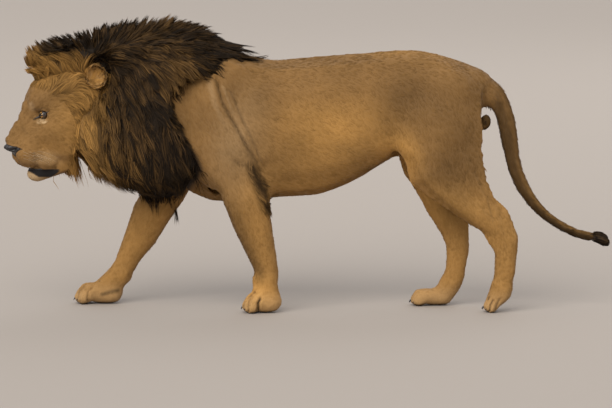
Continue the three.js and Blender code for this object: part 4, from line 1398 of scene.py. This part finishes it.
manePlan = {
    "count": 35000,
    "rings": 4,
    "perClump": 16,
    "clumpTurn": 0.22,
    "ownTurn": 0.10,
    "wave": 0.10,
    "lift": 20,
    "sink": 4,
    "droop": 0.25,
    "cling": 0.55,
    "clumping": 0.5,
    "blend": 0.45,
    "width": 3.5,
    "thick": 0.8,
    "outlineAt": (0, 0.2, 0.5, 0.8, 1),
    "outline": (0.8, 1.0, 0.9, 0.6, 0.3),
    "length": lambda p, n: maneLength(p),
    "stand": lambda p, n: maneStand(p, n),
}


def maneDensity(points, normals):
    # thicker where the hair stands up, and none on the throat right behind the chin
    bare = ramp(-points[:, 0], 960, 1000) * ramp(-points[:, 2], -700, -650)
    lock = 2.2 * ramp(points[:, 0], -440, -360) * ramp(points[:, 2], 960, 1010)
    return maneStands(points) * (1 - bare) * (1 + lock + 0.8 * ramp(normals[:, 2], 0.3, 0.9)
                                              + 0.5 * ramp(-points[:, 0], 1000, 1100))


sideReach = {"free": 0.236, "more": 0.026}   # metres from the middle that the hair may reach


def makeMane():
    dice = np.random.default_rng(seedStart)
    roots, normals = rootsOn(maneMass, manePlan["count"], maneDensity, dice)
    outside = signedHeights(skinTree, roots) > -0.004
    roots, normals = roots[outside], normals[outside]
    path, clump, clumps = growTufts(maneTree, roots, normals, combMane, manePlan, dice)
    out = np.maximum(np.abs(path[..., 1]) - sideReach["free"], 0)
    path[..., 1] -= np.sign(path[..., 1]) * (out - out / (1 + out / sideReach["more"]))
    report("mane grown, %d tufts" % len(roots))
    dark, gold = maneMarks(toDrawing(path[2]))
    luck = dice.normal(0, 0.10, clumps)[clump] + dice.normal(0, 0.10, len(roots))
    dark = np.clip(dark + luck, 0, 1)
    chance = np.clip(0.5 + dice.normal(0, 0.2, clumps)[clump] + dice.normal(0, 0.16, len(roots)), 0, 1)
    width = someWidths(dice, manePlan["width"], len(roots), 0.25, 1.7)
    atlas = atlasPlaces(maneAtlas, roots)
    x, y, z = toDrawing(roots).T
    forelock = (x < -1005) & (z > 925)
    crest = (z > 985) & ~forelock
    left, right = (y < 0) & ~forelock & ~crest, (y >= 0) & ~forelock & ~crest
    parts = [("forelock_hair", forelock, "mane_forelock", "ruff")]
    for name, whole, split, node in (("crest_hair", crest, -640, "mane_crest"),
                                     ("mane_hair_left", left, -760, "mane_left"),
                                     ("mane_hair_right", right, -760, "mane_right")):
        parts.append((name + "_front", whole & (x < split), node, "mane"))
        parts.append((name + "_back", whole & (x >= split), node, "mane"))
    for name, chosen, node, slot in parts:
        piece = tuftMesh(name, path[:, chosen], normals[chosen], width[chosen], manePlan,
                         (dark[chosen], gold[chosen], gold[chosen] * 0), chance[chosen], atlas[chosen])
        finishPiece(piece, hairFinish, slot, node)
        report("%s, %d tufts" % (name, chosen.sum()))


makeMane()

headGuides = [
    ((-385, 0, 705), (0.50, 0, 0.85)), ((-340, 0, 752), (0.45, 0, 0.90)), ((-300, 0, 822), (0.35, 0, 0.93)),
    ((-278, 0, 900), (0.30, 0, 0.95)), ((-250, 0, 965), (0.60, 0, 0.80)),
    ((-260, 60, 872), (0.50, 0.35, 0.75)), ((-265, 66, 792), (0.70, 0.50, -0.20)),
    ((-200, 100, 762), (0.85, 0.30, -0.30)), ((-140, 115, 780), (0.90, 0.10, -0.35)),
    ((-120, 110, 680), (0.85, 0.00, -0.50)), ((-332, 40, 672), (0.60, 0.60, -0.25)),
    ((-280, 72, 662), (0.85, 0.30, -0.35)), ((-230, 76, 640), (0.85, 0.10, -0.50)),
    ((-300, 52, 616), (0.70, 0.30, -0.65)), ((-290, 12, 575), (0.50, 0.00, -0.85)),
    ((-240, 32, 560), (0.70, 0.00, -0.70)), ((-180, 52, 590), (0.80, 0.00, -0.50)),
    ((-180, 92, 880), (0.80, 0.30, 0.30)), ((-100, 106, 900), (0.90, 0.20, 0.20)),
    ((-225, 84, 830), (0.80, 0.50, 0.25)),
]
bodyGuides = [
    ((-150, 30, 1050), (1.0, 0, -0.05)), ((100, 30, 1075), (1.0, 0, -0.02)),
    ((400, 30, 1095), (1.0, 0, -0.02)), ((600, 30, 1060), (0.95, 0, -0.30)),
    ((-150, 190, 850), (0.80, 0, -0.60)), ((50, 190, 850), (0.80, 0, -0.60)),
    ((250, 180, 850), (0.75, 0, -0.65)), ((450, 170, 850), (0.60, 0, -0.80)),
    ((650, 150, 850), (0.40, 0, -0.90)), ((-350, 190, 850), (0.45, 0, -0.90)),
    ((-300, 190, 650), (0.30, 0, -0.95)), ((-50, 150, 560), (0.85, 0, -0.50)),
    ((-50, 0, 465), (1.0, 0, -0.10)), ((250, 120, 640), (0.85, -0.1, -0.40)),
    ((250, 0, 560), (1.0, 0, 0.10)), ((370, 150, 640), (0.40, 0, -0.90)),
    ((480, 170, 650), (0.25, 0, -0.97)), ((650, 160, 650), (0.25, 0, -0.97)),
]
legGuides = [   # the legs stand differently, so each has its own, with its true y
    ((-200, -141, 300), (0.05, 0, -1.0)), ((-190, -141, 150), (0.0, 0, -1.0)),
    ((-240, -141, 50), (-0.7, 0, -0.7)), ((-680, 141, 320), (-0.45, 0, -0.9)),
    ((-790, 141, 180), (-0.45, 0, -0.9)), ((-930, 141, 60), (-0.9, 0, -0.4)),
    ((650, -125, 470), (0.50, 0, -0.85)), ((820, -125, 330), (0.05, 0, -1.0)),
    ((820, -125, 180), (-0.2, 0, -1.0)), ((760, -125, 60), (-0.4, 0, -0.9)),
    ((520, 80, 450), (0.45, 0, -0.9)), ((640, 80, 260), (-0.15, 0, -1.0)), ((620, 80, 130), (-0.2, 0, -1.0)),
    ((480, 80, 50), (-0.9, 0, -0.4)),
]
tailGuides = [(a, tuple(np.subtract(b, a) / 120.0)) for a, b in zip(tailRun[:-1], tailRun[1:])]


def combBody(points):
    return combed(points, bodyGuides, legGuides + tailGuides)


def combHead(points, guides=headGuides):
    return combed(toHead(points), guides) @ headTurn().T


def bodyLength(points, normals):
    # mm of coat: shorter down the legs and on the paws, longer under the belly
    z = points[:, 2]
    under = ramp(-normals[:, 2], 0.4, 1) * ramp(z, 380, 440)
    return 21 - 9 * ramp(-z, -560, -200) - 5 * ramp(-z, -140, -50) + 10 * under


def faceLength(points, normals):
    # short on the muzzle, longer towards the cheeks, the crown and the chin
    x, z = points[:, 0], points[:, 2]
    cheek = (8 * ramp(x, -1130, -1020) + 28 * ramp(x, -1015, -935)) * (1 - ramp(-normals[:, 2], 0.1, 0.5))
    return 9 + cheek + 14 * ramp(z, 925, 975) + 9 * ramp(-z, -590, -560)


shortPlan = {
    "rings": 2,
    "perClump": 5,
    "clumpTurn": 0.12,
    "ownTurn": 0.10,
    "wave": 0.0,
    "lift": 1.5,
    "sink": 1.0,
    "droop": 0.05,
    "cling": 0.9,
    "clumping": 0.35,
    "blend": 0.90,
    "thick": 0.4,
    "outlineAt": (0, 0.5, 1),
    "outline": (0.8, 1.0, 0.6),
    "stand": lambda p, n: np.zeros(len(p)),
    "length": lambda p, n: bodyLength(p, n),
}
facePlan = dict(shortPlan, sink=0.8, rings=3, length=lambda p, n: faceLength(p, n))

elbowPlan = dict(shortPlan, rings=3, lift=7, perClump=8, clumping=0.45, clumpTurn=0.18, blend=0.6,
                 length=lambda p, n: 52 - 12 * ramp(-p[:, 2], -520, -450))


def elbowWeight(points):
    return ease(1 - sideDistance(points, elbowLine) / 36) ** 2 * (points[:, 1] < -90)


tailPlan = dict(shortPlan, lift=3.0, length=lambda p, n: 20 + 12 * ramp(p[:, 0], 900, 1100))

ruffGuides = [   # the long cheek hair, in the head's own millimetres
    ((-215, 84, 900), (0.70, 0.30, 0.60)), ((-280, 40, 945), (-0.10, 0.15, 0.98)),
    ((-230, 70, 960), (0.05, 0.25, 0.95)), ((-150, 104, 950), (0.40, 0.30, 0.80)),
    ((-110, 112, 905), (0.75, 0.20, -0.20)), ((-165, 104, 850), (0.80, 0.20, -0.45)),
    ((-125, 112, 800), (0.50, 0.12, -0.85)), ((-70, 112, 880), (0.35, 0.10, -0.93)),
    ((-60, 112, 780), (0.20, 0.05, -0.97)), ((-130, 108, 700), (0.35, 0.05, -0.93)),
    ((-160, 92, 640), (0.35, 0.0, -0.93)), ((-80, 100, 650), (0.12, 0.0, -0.99)),
]
# (z, x) of the ruff's front
ruffEdge = [(540, -150), (700, -150), (830, -140), (880, -178), (915, -240), (945, -330)]


def aheadOfRuff(points):
    own = toHead(points)
    heights, edge = zip(*ruffEdge)
    return own[:, 0] - np.interp(own[:, 2], heights, edge)


def ruffWeight(points):
    x, y, z = toHead(points).T
    inside = (np.abs(y) > np.where(z > 900, 0, 30)) & (z > 575) & (x < 20)
    return ramp(aheadOfRuff(points), -12, 25) * inside


def combRuff(points):
    return combHead(points, ruffGuides)


ruffPlan = dict(shortPlan, rings=4, lift=9, sink=2, perClump=9, clumpTurn=0.18, wave=0.08, cling=0.5,
                clumping=0.4, droop=0.10, blend=0.55, thick=0.7, outlineAt=(0, 0.3, 0.7, 1),
                outline=(0.7, 1.0, 0.8, 0.4), stand=lambda p, n: 0.9 * ramp(-p[:, 2], -700, -650),
                length=lambda p, n: 30 + ramp(aheadOfRuff(p), 0, 70) * (42 + 80 * ramp(-p[:, 2], -720, -640)))


def within(lowX, highX, lowZ=-99, highZ=9999, side=0):
    # a test for a part of the body, in drawing millimetres; side -1 is the left, 1 the right, 0 both
    def test(points):
        x, y, z = points.T
        return (x > lowX) & (x < highX) & (z > lowZ) & (z <= highZ) & ((side == 0) | ((y >= 0) == (side > 0)))
    return test


shortCoats = [   # name, how many, width in mm, part of the body, plan, comb
    ("face_fur", 15000, 1.7, within(-9999, -850, lowZ=530), facePlan, combHead),
    ("ruff_hair", 7500, 2.8, ruffWeight, ruffPlan, combRuff),
    ("trunk_fur_left", 15500, 3.0, within(-700, 790, lowZ=440, side=-1), shortPlan, combBody),
    ("trunk_fur_right", 15500, 3.0, within(-700, 790, lowZ=440, side=1), shortPlan, combBody),
    ("fore_leg_fur", 7500, 2.2, within(-1050, 200, highZ=440), shortPlan, combBody),
    ("hind_leg_fur", 8500, 2.2, within(200, 900, highZ=440), shortPlan, combBody),
    ("elbow_hair", 1500, 2.6, elbowWeight, elbowPlan, combBody),
    ("tail_fur", 4500, 2.4, lambda p: within(790, 9999, lowZ=440)(p) | (p[:, 0] >= 900), tailPlan, combBody),
]
coatEdges = {"underMane": 0.5, "underRuff": 0.9, "offBare": 0.005, "offEye": 0.0255}   # off: metres


def makeShortCoats():
    atlas = makeAtlas(skin, 0.12)
    report("skin unwrap")
    dice = np.random.default_rng(seedStart + 1)
    bare = np.empty(len(skin.data.vertices) * 4, dtype=np.float32)
    skin.data.attributes["bare"].data.foreach_get("color", bare)
    barePlaces = pointsOf(skin)[bare[::4] > 0.4]
    bareTree = KDTree(len(barePlaces))
    for i, place in enumerate(barePlaces):
        bareTree.insert(place, i)
    bareTree.balance()
    for name, count, width, test, plan, comb in shortCoats:
        roots, normals = rootsOn(skin, count, lambda p, n: test(p) + 1e-9, dice)
        shown = underMane(roots) < coatEdges["underRuff" if name == "ruff_hair" else "underMane"]
        if name == "face_fur":
            shown &= np.array([bareTree.find(r)[2] > coatEdges["offBare"] for r in roots])
            for side in sides:
                eye = fromDrawing(fromHead([onSide(eyePlace, side)]))[0]
                shown &= np.linalg.norm(roots - eye, axis=1) > coatEdges["offEye"]
        roots, normals = roots[shown], normals[shown]
        path, clump, clumps = growTufts(skinTree, roots, normals, comb, plan, dice)
        dark, gold, pale = coatMarks(toDrawing(roots), normals)
        if name == "ruff_hair":
            streak = dice.normal(0, 0.16, clumps)[clump]
            dark = np.clip(dark * 0.5 + 0.14 + streak + dice.normal(0, 0.08, len(roots)), 0, 1)
            gold = np.clip(gold * 0.4 + 0.6, 0, 1)
        chance = np.clip(0.5 + dice.normal(0, 0.10, clumps)[clump] + dice.normal(0, 0.10, len(roots)), 0, 1)
        widths = someWidths(dice, width, len(roots))
        places = atlasPlaces(atlas, roots)
        piece = tuftMesh(name, path, normals, widths, plan, (dark, gold, pale), chance, places)
        finish = hairFinish if name == "ruff_hair" else furFinish
        slot = {"elbow_hair": "mane", "ruff_hair": "ruff"}.get(name, "coat")
        finishPiece(piece, finish, slot, *(["elbow_tuft_left"] if name == "elbow_hair" else []))
        report("%s, %d tufts" % (name, len(roots)))


makeShortCoats()

eyeShape = {
    "gaze": (-0.90, 0.42, -0.03),
    "iris": 43,        # degrees from the middle of the gaze
    "pupil": 15,
    "rim": 2.5,        # mm, the dark rim of the lids
    "gap": 0.6,        # mm between the ball and the lids
    "bulge": 0.06,     # how far the clear front stands out
    "tear": [(-22, -3, -9), (-31, -5, -13), (-40, -9, -18)],   # mm from the ball's middle
}


def rampNode(nodes, links, value, stops):
    node = nodes.new("ShaderNodeValToRGB")
    marks = node.color_ramp.elements
    for mark, (place, tint) in zip(marks, (stops[0], stops[-1])):
        mark.position = place
        mark.color = tint + (1,)
    for place, tint in stops[1:-1]:
        marks.new(place).color = tint + (1,)
    links.new(value, node.inputs["Fac"])
    return node.outputs["Color"]


def makeEyeFinish():
    made, nodes, links, shader = newMaterial("eye_finish", {
        "Roughness": 0.12, "Specular IOR Level": 0.5, "Coat Weight": 1.0, "Coat Roughness": 0.03})
    wrap = nodes.new("ShaderNodeUVMap")
    wrap.uv_map = "UVMap"
    split = nodes.new("ShaderNodeSeparateXYZ")
    links.new(wrap.outputs["UV"], split.inputs["Vector"])
    streaks = nodes.new("ShaderNodeTexNoise")
    stretch = addNode(nodes, "ShaderNodeMapping", {"Scale": (60, 6, 1)})
    links.new(wrap.outputs["UV"], stretch.inputs["Vector"])
    links.new(stretch.outputs["Vector"], streaks.inputs["Vector"])
    shift = addMath(nodes, links, "MULTIPLY_ADD", streaks.outputs["Fac"], 0.02, split.outputs["Y"])
    edge = 1 - eyeShape["iris"] / 180 + 0.01
    middle = 1 - eyeShape["pupil"] / 180 + 0.01
    tint = rampNode(nodes, links, shift, [
        (edge - 0.05, (0.03, 0.018, 0.012)), (edge, (0.02, 0.010, 0.006)), (edge + 0.03, (0.30, 0.13, 0.025)),
        (middle - 0.03, (0.62, 0.34, 0.07)), (middle - 0.008, (0.30, 0.14, 0.03)),
        (middle, (0.003, 0.003, 0.003)),
    ])
    links.new(tint, shader.inputs["Base Color"])
    return made


def makeLeatherFinish():
    made, nodes, links, shader = newMaterial("leather_finish", {"Roughness": 0.42, "Specular IOR Level": 0.5})
    grain = addNoise(nodes, links, "ShaderNodeTexVoronoi", {"Scale": 420})
    cells = grain.outputs["Distance"]
    tint = rampNode(nodes, links, cells, [(0.1, (0.022, 0.018, 0.018)), (0.8, (0.008, 0.007, 0.007))])
    links.new(tint, shader.inputs["Base Color"])
    bump = addBump(nodes, links, cells, shader, {"Strength": 0.4, "Distance": 0.0008})
    bump.invert = True
    return made


eyeFinish = makeEyeFinish()
leatherFinish = makeLeatherFinish()


def tube(name, path, radii, closed=False, sidesRound=4):
    # a round bar along points in drawing millimetres
    curve = bpy.data.curves.new(name, "CURVE")
    curve.dimensions = "3D"
    curve.bevel_depth = mm
    curve.bevel_resolution = sidesRound
    curve.use_fill_caps = not closed
    line = curve.splines.new("POLY")
    line.points.add(len(path) - 1)
    line.use_cyclic_u = closed
    for i, place in enumerate(fromDrawing(path)):
        line.points[i].co = (*place, 1)
        line.points[i].radius = radii[i]
    made = bpy.data.objects.new(name, curve)
    bpy.context.scene.collection.objects.link(made)
    pick(made)
    bpy.ops.object.convert(target="MESH")
    made = bpy.context.object
    made.data.shade_smooth()
    return made


def overSkin(points, lift):
    # the head's own places laid on the skin, in drawing millimetres
    places = fromDrawing(fromHead(np.array(points)))
    near, normals = nearSurface(skinTree, places)
    return toDrawing(near + normals * lift * mm)


def makeEyes():
    for side, word in zip(sides, ("left", "right")):
        out, back, up = eyeFrame(side)
        centre = onSide(eyePlace, side)
        gaze = Vector(headTurn() @ unit(onSide(eyeShape["gaze"], side)))
        deselectAll()
        place = Vector(fromDrawing(fromHead([centre]))[0])
        radius = (eyeRadius - eyeShape["gap"]) * mm
        bpy.ops.mesh.primitive_uv_sphere_add(segments=64, ring_count=48, radius=radius)
        eyeball = bpy.context.object
        spin = gaze.to_track_quat("Z", "Y").to_matrix()
        points = pointsOf(eyeball)
        bulge = ramp(points[:, 2] / (eyeRadius * mm), 0.72, 1.0)
        points = points * (1 + eyeShape["bulge"] * bulge)[:, None]
        setPoints(eyeball, points @ np.array(spin).T + np.array(place))
        eyeball.name = eyeball.data.name = "eyeball_" + word
        eyeball.data.shade_smooth()
        finishPiece(eyeball, eyeFinish, "eye", "eye_" + word)

        turns = np.linspace(0, 2 * math.pi, 48, endpoint=False)
        a = lidShape["halfWidth"] * np.cos(turns)
        top, bottom = lidEdge(a)
        b = np.where(np.sin(turns) >= 0, top, bottom)
        ray = unit(out + back * np.tan(np.radians(a))[:, None] + up * np.tan(np.radians(b))[:, None])
        loop = centre + ray * (lidShape["radius"] - 0.8)
        rim = tube("rim", fromHead(loop), [eyeShape["rim"]] * len(loop), closed=True)
        corner = math.tan(math.radians(lidShape["halfWidth"]))
        inner, outer = unit(out - back * corner), unit(out + back * corner)
        tear = [centre + inner * 19] + [centre + onSide(step, side) for step in eyeShape["tear"]]
        duct = tube("duct", overSkin(tear, 0.0), [3.6, 3.6, 2.8, 1.0])
        tail = [centre + outer * 19.5, centre + outer * 20 + back * 8, centre + outer * 19 + back * 18 + up]
        line = tube("line", overSkin(tail, -0.4), [2.4, 1.8, 0.7])
        rims = joined([rim, duct, line], "eye_rim_" + word)
        finishPiece(rims, leatherFinish, "dark_skin")
    report("eyes")


makeEyes()

lipShape = {   # one half from the corner of the mouth to the front, in the head's own millimetres
    "half": [(-184, 62, 606), (-212, 58, 600), (-246, 46, 598), (-276, 30, 597), (-292, 12, 597)],
    "radii": [3, 5, 5, 4, 3],
    "front": (-296, 0, 597),
    "frontRadius": 2.5,
}


def makeLips():
    half, radii = lipShape["half"], lipShape["radii"]
    path = mirrored(half, -1) + [lipShape["front"]] + half[::-1]
    lips = tube("lips", fromHead(path), radii + [lipShape["frontRadius"]] + radii[::-1], sidesRound=6)
    soften = lips.modifiers.new("soften", "SUBSURF")
    soften.levels = soften.render_levels = 1
    applyAll(lips)
    finishPiece(lips, leatherFinish, "dark_skin", "lip")
    report("lips")


earShape = {
    "place": (-33, 116, 985),
    "facing": (-0.60, 0.78, 0.10),
    "radius": 49,
    "depth": 0.62,
    "wall": 4.5,
    "cut": 0.012,      # metres from the ball's middle to the opening
}


def makeEars():
    for side, word in zip(sides, ("left", "right")):
        facing = Vector(headTurn() @ unit(onSide(earShape["facing"], side)))
        place = Vector(fromDrawing(fromHead([onSide(earShape["place"], side)]))[0])
        deselectAll()
        bpy.ops.mesh.primitive_uv_sphere_add(segments=40, ring_count=28, radius=earShape["radius"] * mm)
        ear = bpy.context.object
        bpy.ops.object.mode_set(mode="EDIT")
        bpy.ops.mesh.select_all(action="SELECT")
        bpy.ops.mesh.bisect(plane_co=(0, 0, earShape["cut"]), plane_no=(0, 0, 1), clear_outer=True)
        bpy.ops.object.mode_set(mode="OBJECT")
        points = pointsOf(ear)
        points[:, 2] *= earShape["depth"]
        spin = facing.to_track_quat("Z", "Y").to_matrix()
        setPoints(ear, points @ np.array(spin).T + np.array(place))
        wall = ear.modifiers.new("wall", "SOLIDIFY")
        wall.thickness = earShape["wall"] * mm
        wall.offset = -1
        smooth = ear.modifiers.new("smooth", "SUBSURF")
        smooth.levels = smooth.render_levels = 1
        applyAll(ear)
        ear.name = ear.data.name = "ear_skin_" + word
        ear.data.shade_smooth()
        inside = ramp(normalsOf(ear) @ np.array(facing), -0.25, 0.35)
        paint(ear, "marks", (1 - inside * 0.35, inside * 0.8, inside * 0.05))
        paint(ear, "bare", (inside * 0,))
        finishPiece(ear, skinFinish, "ruff", "ear_" + word)
        growEarFur(ear, word, place, np.array(facing))
    report("ears")


def evenLength(length):
    return lambda points, normals: np.full(len(points), float(length))


earPlan = dict(shortPlan, rings=3, clumping=0.3, blend=0.8, width=1.9)
earPlans = {   # over the ear's back, and inside it
    "back": dict(earPlan, lift=2.5, clumpTurn=0.15, length=evenLength(15), count=1700,
                 tones=(0.68, 0.55, 0.0)),
    "inner": dict(earPlan, lift=6, cling=0.5, clumpTurn=0.2, length=evenLength(34), count=1500,
                  tones=(0.26, 0.85, 0.08)),
}


def growEarFur(ear, word, place, facing):
    dice = np.random.default_rng(seedStart + 20 + len(word))
    tree = treeOf(ear)
    atlas = makeAtlas(ear, 1.0)
    centre = toDrawing(np.array(place)[None])[0]
    forward = np.array([-1.0, 0, 0]) - facing * -facing[0]
    for part, plan in earPlans.items():
        count, tones = plan["count"], plan["tones"]

        def comb(points):
            away = points - centre
            out = unit(away - (away @ facing)[:, None] * facing)
            if part == "back":
                return unit(out + facing * 0.75)
            return unit(out * 0.25 + facing * 0.55 - forward * 0.7 + np.array([0, 0, 0.35]))

        def density(points, normals):
            if part == "back":
                return (normals @ facing < 0.2) * 1.0
            return (normals @ facing > 0.1) * (0.25 + ramp((points - centre) @ unit(forward), -10, 25))

        roots, normals = rootsOn(ear, count, density, dice)
        path, clump, clumps = growTufts(tree, roots, normals, comb, plan, dice)
        luck = dice.normal(0, 0.12, clumps)[clump]
        rear = toDrawing(roots) - centre
        dark = tones[0] * (0.4 + 1.4 * ramp(rear[:, 0] + rear[:, 2], -10, 50))
        dark = np.clip(dark + luck + dice.normal(0, 0.08, count), 0, 1)
        marks = (dark, np.full(count, tones[1]), np.clip(tones[2] + luck, 0, 1))
        chance = np.clip(0.5 + dice.normal(0, 0.15, count), 0, 1)
        widths = someWidths(dice, plan["width"], count)
        piece = tuftMesh("ear_%s_fur_%s" % (part, word), path, normals, widths, plan, marks, chance,
                         atlasPlaces(atlas, roots))
        finishPiece(piece, furFinish, "ruff")


clawShape = {"length": 9, "radius": 2.8, "height": 0.36, "taper": (1.0, 0.9, 0.6, 0.15)}


def makeClaws():
    claws = []
    for foot in feet:
        for run in toesOf(foot):
            x, y, _, r = run[-1]
            front, height = x - r * 0.90, r * 2 * clawShape["height"]
            path = [(front + 8, y, height + 4), (front + 2, y, height + 2), (front - 2, y, height - 4),
                    (front - 1, y, height - clawShape["length"] * 0.7)]
            claws.append(tube("claw", path, [clawShape["radius"] * k for k in clawShape["taper"]]))
    finishPiece(joined(claws, "claws"), leatherFinish, "dark_skin")
    report("claws")


whiskerPlan = {
    "rows": 3,
    "perRow": 4,
    "length": 95,
    "radius": 0.28,
    "taper": (1.0, 0.9, 0.7, 0.45, 0.15),
    "droop": (0.35, 0, -0.3),
}


def makeWhiskers():
    dice = np.random.default_rng(seedStart + 31)
    whiskers = []
    for side in sides:
        for row in range(whiskerPlan["rows"]):
            for n in range(whiskerPlan["perRow"]):
                root = np.array((-336 + n * 20, (66 + n * 5) * side, 676 - row * 14))
                start = toHead(overSkin([root], -1))[0]
                way = unit(np.array((0.25 + dice.normal(0, 0.1), 0.9 * side, 0.02 + dice.normal(0, 0.08))))
                reach = whiskerPlan["length"] * (0.75 + 0.1 * n) * (1 + dice.normal(0, 0.08))
                path = [start + way * reach * t + np.array(whiskerPlan["droop"]) * reach * t * t
                        for t in (0, 0.25, 0.5, 0.75, 1.0)]
                radii = [whiskerPlan["radius"] * k for k in whiskerPlan["taper"]]
                whiskers.append(tube("whisker", fromHead(path), radii, sidesRound=1))
    finishPiece(joined(whiskers, "whiskers"), whiskerFinish, "pale_coat")
    report("whiskers")


finishPiece(bpy.data.objects["nose_leather"], leatherFinish, "dark_skin", "nose")
makeLips()
makeEars()
makeClaws()
whiskerFinish = newMaterial("whisker_finish", {"Roughness": 0.4, "Base Color": (0.42, 0.34, 0.24, 1),
                                               "Specular IOR Level": 0.16})[0]
makeWhiskers()


def growOver(name, node, plan, slot, material, seed):
    # a small mass of its own under a tuft, and the tuft's hairs over it
    core = nodeCopy([node], name + "_core")
    remeshed(core, plan["voxel"], 4)
    sunk(core, plan["inset"])
    core.data.shade_smooth()
    paint(core, "marks", [np.full(len(core.data.vertices), value) for value in plan["marks"]])
    paint(core, "bare", (np.zeros(len(core.data.vertices)),))
    finishPiece(core, skinFinish, slot, node)
    dice = np.random.default_rng(seedStart + seed)
    count = plan["count"]
    roots, normals = rootsOn(core, count, lambda p, n: np.ones(len(p)), dice)
    path, clump, clumps = growTufts(treeOf(core), roots, normals, lambda p: combed(p, [], plan["guides"]),
                                    plan, dice)
    tones = [np.clip(value + dice.normal(0, 0.08, clumps)[clump], 0, 1) for value in plan["marks"]]
    chance = np.clip(0.5 + dice.normal(0, 0.18, count), 0, 1)
    widths = someWidths(dice, plan["width"], count)
    places = atlasPlaces(makeAtlas(core, 1.0), roots)
    finishPiece(tuftMesh(name, path, normals, widths, plan, tones, chance, places), material, slot)
    report("%s, %d tufts" % (name, count))


tailTuftPlan = dict(manePlan, perClump=10, lift=5, cling=0.8, droop=0.0, clumpTurn=0.1, wave=0.02,
                    length=lambda p, n: 66 - 38 * ramp(p[:, 0], 1195, 1250), stand=shortPlan["stand"],
                    count=1400, voxel=0.005, inset=7, marks=(0.97, 0.0, 0.0),
                    guides=[((1200, 0, 300), (1.0, 0, -0.15)), ((1260, 0, 270), (0.9, 0, -0.45))])
scrotumPlan = dict(shortPlan, width=2.4, length=evenLength(13), count=900, voxel=0.006, inset=4,
                   marks=(0.72, 0.35, 0.0), guides=[((730, 0, 790), (0.2, 0, -1.0))])
growOver("tail_tuft_hair", "tail_tuft", tailTuftPlan, "mane", hairFinish, 11)
growOver("scrotum_fur", "scrotum", scrotumPlan, "dark_skin", furFinish, 13)

stagePlan = {
    "cameraHeight": 2.1,
    "cameraAway": 15.0,
    "aimHeight": 0.44,
    "across": -0.013,
    "lens": 211.35,
    "floorSize": 900,
    "floor": (0.325, 0.283, 0.245),
    "sky": (0.95, 0.96, 1.0),
    "skyStrength": 0.80,
    "sun": ((-7.0, -18.0, 16.0), 3.2, (1.0, 0.97, 0.92)),     # place, power, colour
    "sunAngle": 55,
    "fill": ((6.0, 11.0, 11.0), 500, (0.95, 0.97, 1.0)),
    "fillSize": 12.0,
    "lampAim": 0.6,
}


def makeStage():
    camera = bpy.data.objects.new("camera", bpy.data.cameras.new("camera"))
    bpy.context.scene.collection.objects.link(camera)
    place = Vector((stagePlan["across"], -stagePlan["cameraAway"], stagePlan["cameraHeight"]))
    aim = Vector((stagePlan["across"], 0, stagePlan["aimHeight"]))
    camera.location = place
    camera.rotation_euler = (aim - place).to_track_quat("-Z", "Y").to_euler()
    camera.data.lens = stagePlan["lens"]
    camera.data.sensor_width = 36
    camera.data.clip_end = 200
    bpy.context.scene.camera = camera

    deselectAll()
    bpy.ops.mesh.primitive_grid_add(x_subdivisions=8, y_subdivisions=8, size=stagePlan["floorSize"])
    floor = bpy.context.object
    floor.name = "floor"
    ground = newMaterial("floor_finish", {"Roughness": 0.95, "Base Color": stagePlan["floor"] + (1,)})[0]
    floor.data.materials.append(ground)

    world = bpy.data.worlds.new("soft_sky")
    bpy.context.scene.world = world
    world.use_nodes = True
    sky = world.node_tree.nodes["Background"]
    sky.inputs["Color"].default_value = stagePlan["sky"] + (1,)
    sky.inputs["Strength"].default_value = stagePlan["skyStrength"]

    def aimed(name, kind, place, power, colour):
        lamp = bpy.data.objects.new(name, bpy.data.lights.new(name, kind))
        bpy.context.scene.collection.objects.link(lamp)
        lamp.data.energy = power
        lamp.data.color = colour
        lamp.location = place
        aim = Vector((0, 0, stagePlan["lampAim"])) - Vector(place)
        lamp.rotation_euler = aim.to_track_quat("-Z", "Y").to_euler()
        return lamp.data

    sun = aimed("sky_light", "SUN", *stagePlan["sun"])
    sun.angle = math.radians(stagePlan["sunAngle"])
    fill = aimed("fill_light", "AREA", *stagePlan["fill"])
    fill.size = stagePlan["fillSize"]


makeStage()
scene = bpy.context.scene
scene.view_settings.view_transform = "Standard"
